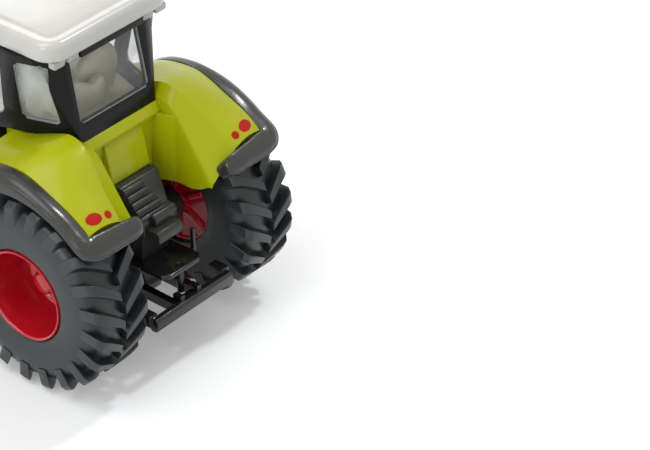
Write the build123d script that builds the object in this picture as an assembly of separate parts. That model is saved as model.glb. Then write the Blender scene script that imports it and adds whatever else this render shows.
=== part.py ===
from build123d import *
import os
from math import asin, cos, degrees, hypot, pi, radians, sin, sqrt

# Die-cast farm tractor, scale 1:50, in millimetres.
# X runs to the tractor's left, Y to its rear and Z up. Every piece is drawn with Y
# measured rearwards from the rear axle, and all of them are moved together at export,
# so that the origin lies on the ground under the middle of the length.

# ---- driving dimensions -------------------------------------------------------------

# Wheels
rear_tyre_radius = 19.0        # over the lugs
rear_tyre_width = 13.0
rear_wheel_plane = 19.3        # centre line to the middle of the tyre
rear_rim_radius = 9.8          # bead seat
rear_lug_count = 21            # in each of the two rows
rear_lug_height = 1.7
front_tyre_radius = 14.2
front_tyre_width = 10.8
front_wheel_plane = 18.7
front_rim_radius = 7.2
front_lug_count = 16
front_lug_height = 1.4
wheelbase = 59.6
axle_radius = 1.0
axle_running_gap = 0.08        # between axle and chassis bore, on the radius
axle_side_play = 0.4           # between rim hub and axle housing
rim_lip = 0.3                  # how far a rim stands out of its tyre
rim_wall = 0.9
rim_inner_edge = 1.2           # of the rim behind the tyre's inner face
rim_sides = 32                 # flats of a rim's barrel
dish_depth = 0.55              # from the wheel plane inwards, as a share of half the width
hub_radius = 2.7
hub_sides = 16
hub_cap = 0.8                  # metal that closes the hub over the axle end
bead_gap = 0.02                # between rim and tyre bore, on the radius
bead_recess = 0.8              # of the tyre's bead behind its bulge
lug_sweep = 0.13               # half the sweep of a bar, as a share of the tyre's radius
lug_share = 0.74               # width of a bar as a share of half a pitch
lug_middle_gap = 0.15
lug_shoulder = 0.84            # where a bar turns down, as a share of half the width
tread_shoulder = 0.72          # the same of the carcass
rear_axle_end = 0.8            # beyond the wheel plane, inside the hub
front_axle_end = 0.8
lug_foot = 0.80                # where a bar ends on the sidewall, as a share of the radius

# Chassis casting
deck_height = 27.0             # top of the chassis, where body, cab and bonnet sit
gearbox_half_width = 4.6
engine_half_width = 5.4
chassis_rear = 4.0
axle_housing_radius = 3.2
housing_sides = 12
flange_step = 0.6              # flange over the axle housing, on the radius
flange_width = 1.0
rear_housing_reach = 13.0      # end of the rear axle housings
front_housing_reach = 12.9     # end of the front axle beam
front_beam_half_height = 2.0
front_beam_half_depth = 2.6
beam_middle_half_width = 4.0
nose_reach = 24.4              # front axle to the tip of the front coupling

# Gearbox housing
housing_front = -2.0
housing_top = 32.5
housing_half_width = 4.8
housing_block_top = 25.0
housing_block_bottom = 22.8
housing_block_rear = 12.0
housing_block_half_width = 3.0
housing_step_reach = 0.9       # how far the ribs on the left stand out
housing_rib_count = 5
housing_waist = 2.6            # from the top down to where it narrows
plug_radius = 1.3              # hexagonal plug on the right-hand slope
plug_height = 0.4

# Coupling and lower link
coupling_plate_top = 18.0
coupling_plate_thickness = 1.0
coupling_plate_half_width = 5.0
coupling_plate_rear = 14.9
coupling_plate_gap = 0.5       # between plate and chassis
coupling_plate_corner = 1.2
coupling_post_height = 4.2     # upright post at the right of the plate
coupling_post_width = 0.8
coupling_post_depth = 1.0
coupling_post_setback = 2.4    # behind the plate's rear edge
coupling_pin_radius = 0.65
coupling_shank_radius = 0.4    # where the pin is pressed into the plate
coupling_pin_y = 13.6
coupling_pin_length = 4.7      # below the plate
link_pivot_y = 5.6
link_pivot_z = 11.4
link_pivot_radius = 0.6
link_running_gap = 0.06
link_side_gap = 0.25
link_arm_inside = 2.3          # centre line to the inner face of an arm
link_arm_width = 1.4
link_arm_height = 2.0
link_bar_y = 16.1
link_bar_depth = 2.0
link_bar_height = 2.6
link_bar_bottom = 9.9
link_bar_half_length = 9.9
link_lug_height = 0.8
link_lug_width = 1.0
link_lug_gap = 1.0             # between a lug and the coupling pin
link_saddle_half_width = 2.9
link_bracket_width = 2.0
link_bracket_height = 2.1

# Rear body with its fenders
sill_height = 42.5             # lower edge of the cab above the fenders
body_ledge = 40.9              # ridge below the sill, on the body's rear
body_half_width = 9.5
body_front = -17.7
body_wall = 1.6                # cheek inside each tyre
arch_radius = 20.2             # wheel arch about the rear axle
fender_seam = 22.0             # centre line to the seam between fender and trim
fender_edge = 25.4             # centre line to the outer edge of the trim
trim_rear_angle = 37.0         # of the rear lower edge, from the rear, about the axle
seam_angle = 48.5
fender_front_angle = 146.0
fender_thickness = 1.2         # at the seam behind the wheel
fender_front_thickness = 2.2
fender_crown = 0.5             # how far its middle stands above a straight line
crest_facets = 14              # along each crest
trim_edge_drop = 1.3           # rounding of the trim's outer edge
flap_thickness = 1.9
flap_corner = 2.6              # rounding of its outer lower corner
flap_inner_corner = 1.2

# Cab
cab_floor = deck_height
cab_top = 60.0
cab_wall = 1.3
glass_thickness = 0.5
glass_setback = 0.3            # glass face behind the frame's outer face
cab_lower_rear = -18.0
windscreen_y = -31.2
windscreen_rake = 6.5          # degrees
interior_gap = 0.1
window_bottom = 45.6
window_top = 57.2
door_bottom = 30.4
cab_rail_height = 1.4          # under the roof, above the rear window
shelf_height = 1.2             # cab floor behind the seats, above the sill

# Inside the cab
driver_x = -0.9
seat_width = 6.6
seat_length = 7.0
seat_cushion = 2.4
seat_back_y = -6.0             # rear face of the backrest, at the cushion
seat_back_height = 8.4
seat_back_round = 3.0          # height of the arc along its top
seat_back_thickness = 2.0
seat_recline = 6.0             # degrees
passenger_x = 4.0
passenger_width = 3.6
passenger_depth = 7.0
passenger_cushion = 2.0
passenger_back = 5.6
steering_radius = 2.4
steering_rim = 0.5
steering_column_length = 6.0
steering_column_radius = 0.5
steering_column_y = -28.3
steering_column_z = 44.6
steering_rake = 38.0           # degrees

# Roof
roof_thickness = 3.6
roof_half_width = 15.2
roof_rear = 0.8
roof_front = -33.0
roof_corner = 4.0
roof_edge_round = 1.0
roof_panel_inset = 2.6
roof_panel_rise = 0.4
work_light_outer_x = 12.6
work_light_inner_x = 9.3
work_light_setback = 1.4       # from the roof's front and rear edges

# Bonnet
bonnet_rear_half_width = 8.4
bonnet_middle_half_width = 9.0
bonnet_nose_half_width = 7.8
bonnet_rear_top = 43.0
bonnet_middle_top = 40.4
bonnet_nose_top = 35.6
bonnet_nose_y = -78.0
bonnet_tip_y = -79.6
bonnet_round = 3.0
grille_half_width = 5.4
grille_top = 32.6
bonnet_tip_inset = 1.4         # nose to tip, on each side
bonnet_tip_drop = 2.0
grille_depth = 2.0
grille_slat_count = 6
grille_slat_share = 0.56       # of the pitch
front_support_low = 18.0       # bracket under the grille that carries the coupling
front_support_high = 24.0
front_coupling_half_width = 3.2
front_coupling_tip = 21.6      # height of its tip
front_bore_radius = 0.8
front_bore_setback = 2.4       # behind the tip

# Fittings
work_light_size = (2.6, 1.6, 1.5)
headlight_size = (3.4, 1.6, 1.6)
headlight_x = 3.4
headlight_z = 32.7
exhaust_x = -12.2
exhaust_y = -34.4
exhaust_radius = 1.5
exhaust_pipe_radius = 0.85
exhaust_bottom = 35.0
exhaust_top = 62.0
silencer_length = 13.0
exhaust_foot = 2.0             # width and height of the bracket
mirror_reach = 21.0
mirror_size = (2.6, 0.9, 5.4)
mirror_top = 54.6
mirror_y = -31.0
mirror_arm = 0.8
tank_rear = -20.6
tank_front = -34.0
tank_half_width = 13.4
tank_bottom = 12.6
tank_top = 24.6
tank_corner = 1.8
step_count = 3
step_width = 3.6
step_length = 5.6
step_thickness = 0.8
step_plate = 0.6               # side plates
step_drop = 1.4                # lowest tread below the tank

# ---- places that follow from the driving dimensions ---------------------------------

rear_axle_z = rear_tyre_radius
front_axle_z = front_tyre_radius
front_axle_y = -wheelbase
coupling_tip_y = front_axle_y - nose_reach
coupling_plate_bottom = coupling_plate_top - coupling_plate_thickness
overall_length = rear_tyre_radius - coupling_tip_y
origin_shift = overall_length / 2 - rear_tyre_radius
housing_length = housing_block_rear - chassis_rear
front_support_y = bonnet_nose_y + 1.2
bonnet_tip_half_width = bonnet_nose_half_width - bonnet_tip_inset
shelf_top = sill_height + shelf_height

# ---- drawing helpers ----------------------------------------------------------------


def block(x, y, z):
    """Box between the pairs of limits x, y and z."""
    size = [high - low for low, high in (x, y, z)]
    centre = [(high + low) / 2 for low, high in (x, y, z)]
    return Pos(*centre) * Box(*size)


def side_prism(outline, x_from, x_to):
    """Prism of a (y, z) outline between two x positions."""
    face = make_face(Polyline(*[(x_from, y, z) for y, z in outline], close=True))
    return extrude(face, amount=x_to - x_from, dir=(1, 0, 0))


def plan_prism(outline, z_from, z_to):
    """Prism of an (x, y) outline between two heights."""
    face = make_face(Polyline(*[(x, y, z_from) for x, y in outline], close=True))
    return extrude(face, amount=z_to - z_from, dir=(0, 0, 1))


def rear_prism(outline, y_from, y_to):
    """Prism of an (x, z) outline between two y positions."""
    face = make_face(Polyline(*[(x, y_from, z) for x, z in outline], close=True))
    return extrude(face, amount=y_to - y_from, dir=(0, 1, 0))


def x_rod(radius, x_from, x_to, y, z):
    """Cylinder along X."""
    middle = (x_from + x_to) / 2
    return Pos(middle, y, z) * Rot(0, 90, 0) * Cylinder(radius, x_to - x_from)


def x_bar(radius, sides, x_from, x_to, y, z):
    """Prism along X with a regular polygon as its section."""
    bar = extrude(RegularPolygon(radius, sides), amount=x_to - x_from)
    return Pos(x_from, y, z) * Rot(0, 90, 0) * bar


def right_of(solid):
    """The same piece on the tractor's right side."""
    return mirror(solid, about=Plane.YZ)


def both_sides(solid):
    return solid + right_of(solid)


def about_axle(radius, angle):
    """The (y, z) point at an angle about the rear axle, measured up from the rear."""
    return (radius * cos(radians(angle)), rear_axle_z + radius * sin(radians(angle)))


def skin(sections):
    """Closed solid through sections with as many corners each, in flat triangles."""
    faces = [Face(Wire.make_polygon(sections[0])), Face(Wire.make_polygon(sections[-1]))]
    for near, far in zip(sections, sections[1:]):
        for i in range(len(near)):
            after = (i + 1) % len(near)
            faces.append(Face(Wire.make_polygon([near[i], near[after], far[after]])))
            faces.append(Face(Wire.make_polygon([near[i], far[after], far[i]])))
    return Solid(Shell(faces))


def faceted_ring(outline, sides):
    """Ring around X with the given (x, radius) outline and a flat for each side."""
    step = 2 * pi / sides
    rings = [
        [Vector(x, r * sin(i * step), r * cos(i * step)) for i in range(sides)] for x, r in outline
    ]
    faces = []
    for near, far in zip(rings, rings[1:] + rings[:1]):
        for i in range(sides):
            after = (i + 1) % sides
            faces.append(Face(Wire.make_polygon([near[i], near[after], far[after], far[i]])))
    return Solid(Shell(faces))


# ---- wheels -------------------------------------------------------------------------


def tread_lug(radius, width, lug_height, lug_width):
    """One bar of the left-hand row, pointing up: it starts at the middle of the tread,
    sweeps back and outwards and runs over the shoulder down the sidewall."""
    edge = width / 2
    sweep = lug_sweep * radius
    root = radius - 2.2 * lug_height
    middle = [(lug_middle_gap, -sweep), (0.45 * edge, 0.1 * sweep), (edge, 0.7 * sweep)]
    # The flat top of a bar lies so that its furthest corner is on the tyre's radius.
    flat = sqrt(radius**2 - (sweep + lug_width / 2) ** 2)
    ahead = [(x, y + lug_width / 2) for x, y in middle]
    behind = [(x, y - lug_width / 2) for x, y in reversed(middle)]
    bar = plan_prism(ahead + behind, root - lug_height, radius)
    foot = lug_foot * radius
    crown = [(0, root), (0, flat), (lug_shoulder * edge, flat), (edge, foot), (0.7 * edge, foot)]
    return bar & rear_prism(crown, -radius, radius)


def tyre(radius, width, bore, lug_height, lug_count):
    """Tractor tyre around X: a carcass with one flat for each bar, and two rows of bars
    half a pitch apart."""
    edge = width / 2
    tread = radius - lug_height
    bulge = (bore + tread) / 2
    sides = 2 * lug_count
    across_corners = 1 / cos(pi / sides)
    outline = [
        (-edge + bead_recess, bore * across_corners),
        (-edge, bulge),
        (-tread_shoulder * edge, tread),
        (tread_shoulder * edge, tread),
        (edge, bulge),
        (edge - bead_recess, bore * across_corners),
    ]
    carcass = faceted_ring(outline, sides)
    pitch = 360 / lug_count
    lug_width = lug_share * pi * radius / lug_count
    lug = tread_lug(radius, width, lug_height, lug_width)
    # The first bar is turned so that its leading corner touches the ground.
    corner = lug_sweep * radius + lug_width / 2
    start = 180 - degrees(asin(corner / radius))
    left_row = [Rot(X=start + i * pitch) * lug for i in range(lug_count)]
    other = mirror(lug, about=Plane.YZ)
    right_row = [Rot(X=start + (i + 0.5) * pitch) * other for i in range(lug_count)]
    return carcass.fuse(*left_row, *right_row)


def rim(rim_radius, tyre_width, hub_inside, axle_end):
    """Dished wheel around X, open to the left: a barrel with a deep dish inside it and a
    hub whose bore is closed at the outer end."""
    edge = tyre_width / 2
    lip = edge + rim_lip
    inner_edge = rim_inner_edge - edge
    dish = -dish_depth * edge
    inside = rim_radius - rim_wall
    core = hub_radius / 2
    barrel = [
        (dish - rim_wall, core),
        (dish - rim_wall, inside),
        (inner_edge, inside),
        (inner_edge, rim_radius),
        (lip, rim_radius),
        (lip, inside),
        (dish, inside),
        (dish, core),
    ]
    hub = x_bar(hub_radius, hub_sides, -hub_inside, axle_end + hub_cap, 0, 0)
    bore = x_rod(axle_radius, -edge, axle_end, 0, 0)
    return faceted_ring(barrel, rim_sides) + hub - bore


rear_hub_inside = rear_wheel_plane - rear_housing_reach - axle_side_play
front_hub_inside = front_wheel_plane - front_housing_reach - axle_side_play


def wheel_pair(piece, plane, y, z):
    """A left-hand piece set in its wheel plane, and its mirror image on the right."""
    left = Pos(plane, y, z) * piece
    return left, right_of(left)


rear_tyre = tyre(
    rear_tyre_radius, rear_tyre_width, rear_rim_radius + bead_gap, rear_lug_height, rear_lug_count
)
front_tyre = tyre(
    front_tyre_radius,
    front_tyre_width,
    front_rim_radius + bead_gap,
    front_lug_height,
    front_lug_count,
)
rear_rim = rim(rear_rim_radius, rear_tyre_width, rear_hub_inside, rear_axle_end)
front_rim = rim(front_rim_radius, front_tyre_width, front_hub_inside, front_axle_end)


def axle(plane, end, y, z):
    reach = plane + end
    return x_rod(axle_radius, -reach, reach, y, z)


# ---- chassis ------------------------------------------------------------------------


def chassis():
    """One casting from the gearbox to the front support, with both axle housings."""
    spine = [
        (chassis_rear, deck_height),
        (chassis_rear, link_pivot_z + 1.8),
        (-9.0, 12.6),
        (-35.0, 13.4),
        (front_axle_y + 14, 15.0),
        (front_axle_y - 16, 15.0),
        (front_support_y, front_support_low),
        (front_support_y, front_support_high),
        (bonnet_nose_y + grille_depth + 1.6, front_support_high),
        (bonnet_nose_y + grille_depth + 1.6, deck_height),
    ]
    casting = side_prism(spine, -gearbox_half_width, gearbox_half_width)
    engine = block(
        (-engine_half_width, engine_half_width), (front_axle_y - 3, -36.0), (15.6, deck_height)
    )
    casting += engine
    # Axle housings with a flange on the gearbox.
    reach = rear_housing_reach
    casting += x_bar(axle_housing_radius, housing_sides, -reach, reach, 0, rear_axle_z)
    reach = gearbox_half_width + flange_width
    flange_radius = axle_housing_radius + flange_step
    casting += x_bar(flange_radius, housing_sides, -reach, reach, 0, rear_axle_z)
    # The front axle beam is deepest in the middle.
    half = front_beam_half_height
    beam = [
        (-front_housing_reach, front_axle_z - half),
        (-beam_middle_half_width, front_axle_z - 1.4 * half),
        (beam_middle_half_width, front_axle_z - 1.4 * half),
        (front_housing_reach, front_axle_z - half),
        (front_housing_reach, front_axle_z + half),
        (beam_middle_half_width, front_axle_z + 1.7 * half),
        (-beam_middle_half_width, front_axle_z + 1.7 * half),
        (-front_housing_reach, front_axle_z + half),
    ]
    depth = front_beam_half_depth
    casting += rear_prism(beam, front_axle_y - depth, front_axle_y + depth)
    # Boss for the lower link, narrow enough to pass between its arms.
    boss_half = link_arm_inside - link_side_gap
    boss = side_prism(
        [
            (chassis_rear - 2, link_pivot_z - 1.8),
            (link_pivot_y + 1.2, link_pivot_z - 1.8),
            (link_pivot_y + 1.8, link_pivot_z),
            (link_pivot_y + 1.2, link_pivot_z + 1.8),
            (chassis_rear, coupling_plate_bottom),
            (chassis_rear - 2, coupling_plate_bottom),
        ],
        -boss_half,
        boss_half,
    )
    casting += boss
    bore = axle_radius + axle_running_gap
    reach = rear_wheel_plane
    casting -= x_rod(bore, -reach, reach, 0, rear_axle_z)
    casting -= x_rod(bore, -reach, reach, front_axle_y, front_axle_z)
    casting -= x_rod(link_pivot_radius, -reach, reach, link_pivot_y, link_pivot_z)
    return casting


def transmission_housing():
    """Ribbed housing on the back of the chassis: steps on the left, a slope on the right,
    and a lower block that stands out over the coupling plate."""
    rise = housing_top - housing_block_top - 1.0
    rib = rise / housing_rib_count
    front = housing_front
    steps = [(front, deck_height), (front, housing_top), (chassis_rear, housing_top)]
    for i in range(housing_rib_count):
        y = chassis_rear + 1.0 + 0.55 * i * housing_length / housing_rib_count
        z = housing_top - i * rib
        steps += [(y + housing_step_reach, z - 0.35 * rib), (y + housing_step_reach, z - 0.7 * rib)]
        steps += [(y, z - rib)]
    foot = [
        (housing_block_rear - 0.5, housing_block_top),
        (housing_block_rear, housing_block_top - 0.5),
        (housing_block_rear, housing_block_bottom),
        (chassis_rear + 4.6, housing_block_bottom),
        (chassis_rear + 4.0, coupling_plate_top),
        (chassis_rear, coupling_plate_top),
        (chassis_rear, deck_height),
    ]
    slope = steps[:3] + [(steps[-1][0] + 0.2, steps[-1][1])]
    wide = housing_half_width
    left = side_prism(steps + foot, 0, wide)
    right = side_prism(slope + foot, -wide, 0)
    narrow = housing_block_half_width
    # Seen from behind the housing narrows towards the lower block.
    rear_view = [
        (-wide, housing_top + 1),
        (-wide, housing_top - housing_waist),
        (-narrow, housing_block_top + 1),
        (-narrow, coupling_plate_top),
        (narrow, coupling_plate_top),
        (narrow, housing_block_top + 1),
        (wide, housing_top - housing_waist),
        (wide, housing_top + 1),
    ]
    housing = (left + right) & rear_prism(rear_view, front, housing_block_rear)
    top_y, top_z = slope[2]
    low_y, low_z = slope[3]
    run, drop = low_y - top_y, top_z - low_z
    seat = Plane(
        origin=(-narrow / 2, (top_y + low_y) / 2, (top_z + low_z) / 2),
        z_dir=(0, drop / hypot(run, drop), run / hypot(run, drop)),
    )
    plug = extrude(seat * RegularPolygon(plug_radius, 6), amount=plug_height)
    return housing + plug


# ---- coupling -----------------------------------------------------------------------


def coupling_plate():
    """Plate under the gearbox housing, with an upright post at its right side."""
    half = coupling_plate_half_width
    front = chassis_rear + coupling_plate_gap
    length = coupling_plate_rear - front
    outline = Pos(0, front + length / 2) * Rectangle(2 * half, length)
    rear_corners = outline.vertices().sort_by(Axis.Y)[-2:]
    outline = chamfer(rear_corners, length=coupling_plate_corner)
    plate = Pos(0, 0, coupling_plate_bottom) * extrude(outline, amount=coupling_plate_thickness)
    post_rear = coupling_plate_rear - coupling_post_setback
    post = block(
        (-half - coupling_post_width, -half),
        (post_rear - coupling_post_depth, post_rear),
        (coupling_plate_bottom, coupling_plate_top + coupling_post_height),
    )
    hole = Cylinder(coupling_shank_radius, 4 * coupling_plate_thickness)
    return plate + post - Pos(0, coupling_pin_y, coupling_plate_bottom) * hole


def coupling_pin():
    """Pin that hangs from the plate by a thinner shank; a tow bar's eye slips over it from
    below."""
    hanging = (Align.CENTER, Align.CENTER, Align.MAX)
    pin = Pos(0, coupling_pin_y, coupling_plate_bottom) * Cylinder(
        coupling_pin_radius, coupling_pin_length, align=hanging
    )
    shank = Cylinder(coupling_shank_radius, 1.5 * coupling_plate_thickness, align=hanging)
    return pin + Pos(0, coupling_pin_y, coupling_plate_top) * shank


def lower_link():
    """Swinging frame under the coupling pin: two arms, a cross bar that keeps the eye on
    the pin, two lugs either side of the pin and a bracket at each end of the bar."""
    bar_top = link_bar_bottom + link_bar_height
    bar_front = link_bar_y - link_bar_depth / 2
    bar_rear = link_bar_y + link_bar_depth / 2
    half = link_bar_half_length
    bar = block((-half, half), (bar_front, bar_rear), (link_bar_bottom, bar_top))
    long_edges = bar.edges().filter_by(Axis.X)
    bar = chamfer(long_edges, length=0.5)
    low = link_pivot_z - link_arm_height / 2
    high = link_pivot_z + link_arm_height / 2
    arm_outline = [
        (link_pivot_y - 1.4, link_pivot_z - 0.4),
        (link_pivot_y - 0.6, low),
        (bar_front + 0.5, link_bar_bottom + 0.2),
        (bar_front + 0.5, link_bar_bottom + 0.2 + link_arm_height),
        (link_pivot_y - 0.6, high),
        (link_pivot_y - 1.4, link_pivot_z + 0.4),
    ]
    arm = side_prism(arm_outline, link_arm_inside, link_arm_inside + link_arm_width)
    lug_low = bar_top - 1.0
    lug_inside = coupling_pin_radius + link_lug_gap
    lug = block(
        (lug_inside, lug_inside + link_lug_width),
        (bar_front - 1.0, bar_front + 1.0),
        (lug_low, bar_top + link_lug_height),
    )
    saddle = block(
        (-link_saddle_half_width, link_saddle_half_width),
        (bar_front - 1.0, bar_front + 0.6),
        (link_bar_bottom + 0.3, lug_low + 0.4),
    )
    bracket_end = half + 0.3 * link_bracket_width
    bracket = block(
        (bracket_end - link_bracket_width, bracket_end),
        (bar_front - 1.3 * link_bar_depth, bar_front + 0.6),
        (bar_top + 0.5 - link_bracket_height, bar_top + 0.5),
    )
    link = bar + saddle + both_sides(arm + lug) + both_sides(bracket)
    reach = link_arm_inside + link_arm_width
    eye = x_rod(link_pivot_radius + link_running_gap, -reach, reach, link_pivot_y, link_pivot_z)
    return link - eye


def link_pivot_pin():
    reach = link_arm_inside + link_arm_width
    return x_rod(link_pivot_radius, -reach, reach, link_pivot_y, link_pivot_z)


# ---- cab ----------------------------------------------------------------------------

# Corners of the cab's flat panes on the left side. Three points hold each pane.
cab_rear_low = (9.4, 0.65, 43.1)
cab_rear_high = (10.5, -1.9, 57.4)
cab_quarter_high = (12.6, -2.8, 56.0)
cab_pillar_low = (13.2, -9.7, 45.2)
cab_pillar_high = (15.2, -8.0, 56.0)
cab_door_high = (15.1, -12.0, 57.0)
cab_door_low = (14.7, -12.0, 45.0)
cab_front_low = (11.4, -31.0, 45.0)


def pane(first, second, third, inset):
    """Plane through three points, facing out of the cab and moved inwards by inset."""
    origin = Vector(*first)
    normal = (Vector(*second) - origin).cross(Vector(*third) - origin).normalized()
    outwards = origin - Vector(0, -15, 50)
    if normal.dot(outwards) < 0:
        normal = normal * -1
    return Plane(origin=origin - normal * inset, z_dir=normal)


def cab_panes(inset):
    """All the flat panes of the cab, left, right, rear and front."""
    left = [
        pane(cab_rear_low, cab_rear_high, cab_quarter_high, inset),
        pane(cab_rear_low, cab_pillar_low, cab_pillar_high, inset),
        pane(cab_door_low, cab_door_high, cab_front_low, inset),
    ]
    right = [
        Plane(origin=(-p.origin.X, p.origin.Y, p.origin.Z), z_dir=(-p.z_dir.X, p.z_dir.Y, p.z_dir.Z))
        for p in left
    ]
    mirrored_corner = (-cab_rear_low[0], cab_rear_low[1], cab_rear_low[2])
    rear = pane(cab_rear_low, cab_rear_high, mirrored_corner, inset)
    rake = radians(windscreen_rake)
    front_normal = Vector(0, -cos(rake), sin(rake))
    front = Plane(
        origin=Vector(0, windscreen_y, bonnet_rear_top) - front_normal * inset, z_dir=front_normal
    )
    return left + right + [rear, front]


def cab_block(inset, z_low, z_high, z_floor):
    """Solid inside the panes: the full plan above the sill, only its front part below."""
    upper = block((-25, 25), (-45, 10), (z_low, z_high))
    lower = block((-25, 25), (-45, cab_lower_rear - inset), (z_floor, z_low))
    solid = upper + lower
    for face in cab_panes(inset):
        solid = split(solid, bisect_by=face, keep=Keep.BOTTOM)
    return solid


def window(outline, corner):
    """Outline with cut corners, in the plane in which its points are given."""
    face = make_face(Polyline(*outline, close=True))
    return chamfer(face.vertices(), length=corner)


def window_openings():
    """Prisms through the cab walls: rear, windscreen, quarter windows and doors."""
    low, high = window_bottom, window_top
    rear_outline = [(-8.2, low), (8.2, low), (8.0, high), (-8.0, high)]
    rear = window([(x, 3, z) for x, z in rear_outline], 0.8)
    rear = extrude(rear, amount=7, dir=(0, -1, 0))
    screen_outline = [(-9.2, low), (9.2, low), (10.2, high), (-10.2, high)]
    screen = window([(x, -24, z) for x, z in screen_outline], 0.8)
    screen = extrude(screen, amount=12, dir=(0, -1, 0))
    quarter_outline = [(-9.5, low), (-2.2, low), (-2.8, high), (-8.2, high)]
    quarter = window([(10, y, z) for y, z in quarter_outline], 0.9)
    quarter = extrude(quarter, amount=12, dir=(1, 0, 0))
    door_outline = [
        (-12.4, low + 0.8),
        (-12.0, high),
        (-28.2, high),
        (-30.0, door_bottom),
        (-19.6, door_bottom),
        (-19.2, 37.0),
        (-15.6, low - 1.0),
    ]
    door = extrude(window([(7, y, z) for y, z in door_outline], 0.7), amount=13, dir=(1, 0, 0))
    return [rear, screen, quarter, right_of(quarter), door, right_of(door)]


openings = window_openings()


def cab_frame():
    """Pillars, sills and rails, left over when the windows are cut out of the shell."""
    outside = cab_block(0, sill_height, cab_top, cab_floor)
    inside = cab_block(cab_wall, sill_height - 1, cab_top + 1, cab_floor - 1)
    frame = outside - inside
    for opening in openings:
        frame -= opening
    rail = block((-7.7, 7.7), (-3.2, 0.4), (cab_top - cab_rail_height, cab_top))
    return frame + (rail - inside)


def cab_glazing():
    """Clear insert inside the frame, with a pad that fills each window."""
    outside = cab_block(glass_setback, sill_height, cab_top, cab_floor)
    inside = cab_block(cab_wall + glass_thickness, sill_height - 1, cab_top + 1, cab_floor - 1)
    lining = cab_block(cab_wall, sill_height, cab_top, cab_floor) - inside
    skin = outside - inside
    pads = [skin & opening for opening in openings]
    return lining.fuse(*[solid for pad in pads for solid in pad.solids()])


def cab_interior():
    """Floor pan of the cab: foot well in front, a shelf over the gearbox behind and a
    dashboard."""
    well = cab_floor + 1.4
    behind, ahead = 10, -45
    pan = [
        (behind, sill_height - 0.2),
        (behind, shelf_top),
        (-20.9, shelf_top),
        (-21.6, well),
        (-27.0, well),
        (-28.6, sill_height + 1.5),
        (-27.6, sill_height + 3.9),
        (-29.2, sill_height + 3.9),
        (ahead, sill_height - 0.5),
        (ahead, cab_floor),
        (cab_lower_rear, cab_floor),
        (cab_lower_rear, sill_height - 0.2),
    ]
    tub = side_prism(pan, -7.4, 7.4)
    floor = block((-20, 20), (-19.8, behind), (sill_height, shelf_top))
    room = cab_block(cab_wall + glass_thickness + interior_gap, sill_height, cab_top, cab_floor)
    return (tub + floor) & room


def driver_seat():
    """Cushion on a pedestal, backrest with a rounded top, leaning back a little."""
    half = seat_width / 2
    cushion_top = shelf_top + seat_cushion
    front = seat_back_y - seat_back_thickness - seat_length
    cushion = block((-half, half), (front, seat_back_y - 0.5), (shelf_top, cushion_top))
    cushion = chamfer(cushion.edges().filter_by(Axis.Z), length=half / 3)
    outer = half + 0.2
    low, shoulder = 0.0, seat_back_height - seat_back_round
    sides = Polyline((outer, 0, shoulder), (outer, 0, low), (-outer, 0, low), (-outer, 0, shoulder))
    top = ThreePointArc((-outer, 0, shoulder), (0, 0, seat_back_height), (outer, 0, shoulder))
    back = extrude(make_face(sides.edges() + top.edges()), amount=seat_back_thickness, dir=(0, -1, 0))
    back = Pos(0, seat_back_y, cushion_top - 0.5) * Rot(X=-seat_recline) * back
    hidden = block((-2 * outer, 2 * outer), (-30, 10), (0, cushion_top - 0.5))
    return Pos(driver_x) * (cushion + (back - hidden))


def passenger_seat():
    """Low seat beside the driver, with a short backrest."""
    rear = seat_back_y + 1.6
    outline = [
        (rear - passenger_depth, shelf_top),
        (rear - passenger_depth, shelf_top + passenger_cushion),
        (rear - 0.31 * passenger_depth, shelf_top + 1.2 * passenger_cushion),
        (rear - 0.17 * passenger_depth, shelf_top + passenger_back),
        (rear, shelf_top + passenger_back),
        (rear, shelf_top),
    ]
    return side_prism(outline, passenger_x, passenger_x + passenger_width)


def steering_column():
    """Column leaning back from the dashboard, with the steering wheel on its end."""
    standing = (Align.CENTER, Align.CENTER, Align.MIN)
    column = Cylinder(steering_column_radius, steering_column_length, align=standing)
    outside = RegularPolygon(steering_radius, 16)
    inside = RegularPolygon(steering_radius - steering_rim, 16)
    ring = extrude(outside - inside, amount=steering_rim / 2, both=True)
    span = 2 * steering_radius - steering_rim
    spokes = Box(span, steering_rim, steering_rim) + Box(steering_rim, span, steering_rim)
    wheel = column + Pos(0, 0, steering_column_length) * (ring + spokes)
    wheel = Pos(driver_x, steering_column_y, steering_column_z) * Rot(X=-steering_rake) * wheel
    return wheel - cab_interior()


# ---- rear body and fenders ----------------------------------------------------------

# Crest of the fender, as (y, z) from front to rear, along its inner edge beside the cab,
# along the seam with the trim and along the outer edge of the trim.
inner_crest = [(-13.0, 41.6), (-7.3, 42.5), (-2.3, 44.2), (0.4, 45.2), (5.0, 43.3), (9.3, 38.2)]
seam_crest = [(-13.4, 38.9), (-9.8, 41.1), (-6.0, 42.1), (-1.0, 42.3), (5.1, 40.2), (11.0, 37.4)]
outer_crest = [(-12.8, 39.0), (-9.3, 40.8), (-5.0, 41.7), (-1.3, 41.8), (4.5, 40.8), (10.4, 37.8)]


def smooth(crest):
    """Points along a smooth curve through a crest, from the fender's front to the seam."""
    front_high = about_axle(arch_radius + fender_front_thickness, fender_front_angle)
    rear_high = about_axle(arch_radius + fender_thickness, seam_angle)
    curve = Spline(*[(y, z) for y, z in (front_high, *crest, rear_high)])
    points = [curve @ (i / crest_facets) for i in range(crest_facets + 1)]
    return [(point.X, point.Y) for point in points]


def fender_section(x, crest):
    """Corners of a fender's section at x; the wheel arch is cut from it later."""
    rear_low = about_axle(arch_radius, seam_angle)
    front_low = about_axle(arch_radius, fender_front_angle)
    return [Vector(x, y, z) for y, z in [*smooth(crest), rear_low, front_low]]


def between(crest, other, rise):
    """Crest halfway between two others, lifted by rise."""
    return [((a + c) / 2, (b + d) / 2 + rise) for (a, b), (c, d) in zip(crest, other)]


def wheel_arch():
    return x_rod(arch_radius, -2 * fender_edge, 2 * fender_edge, 0, rear_axle_z)


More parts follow.
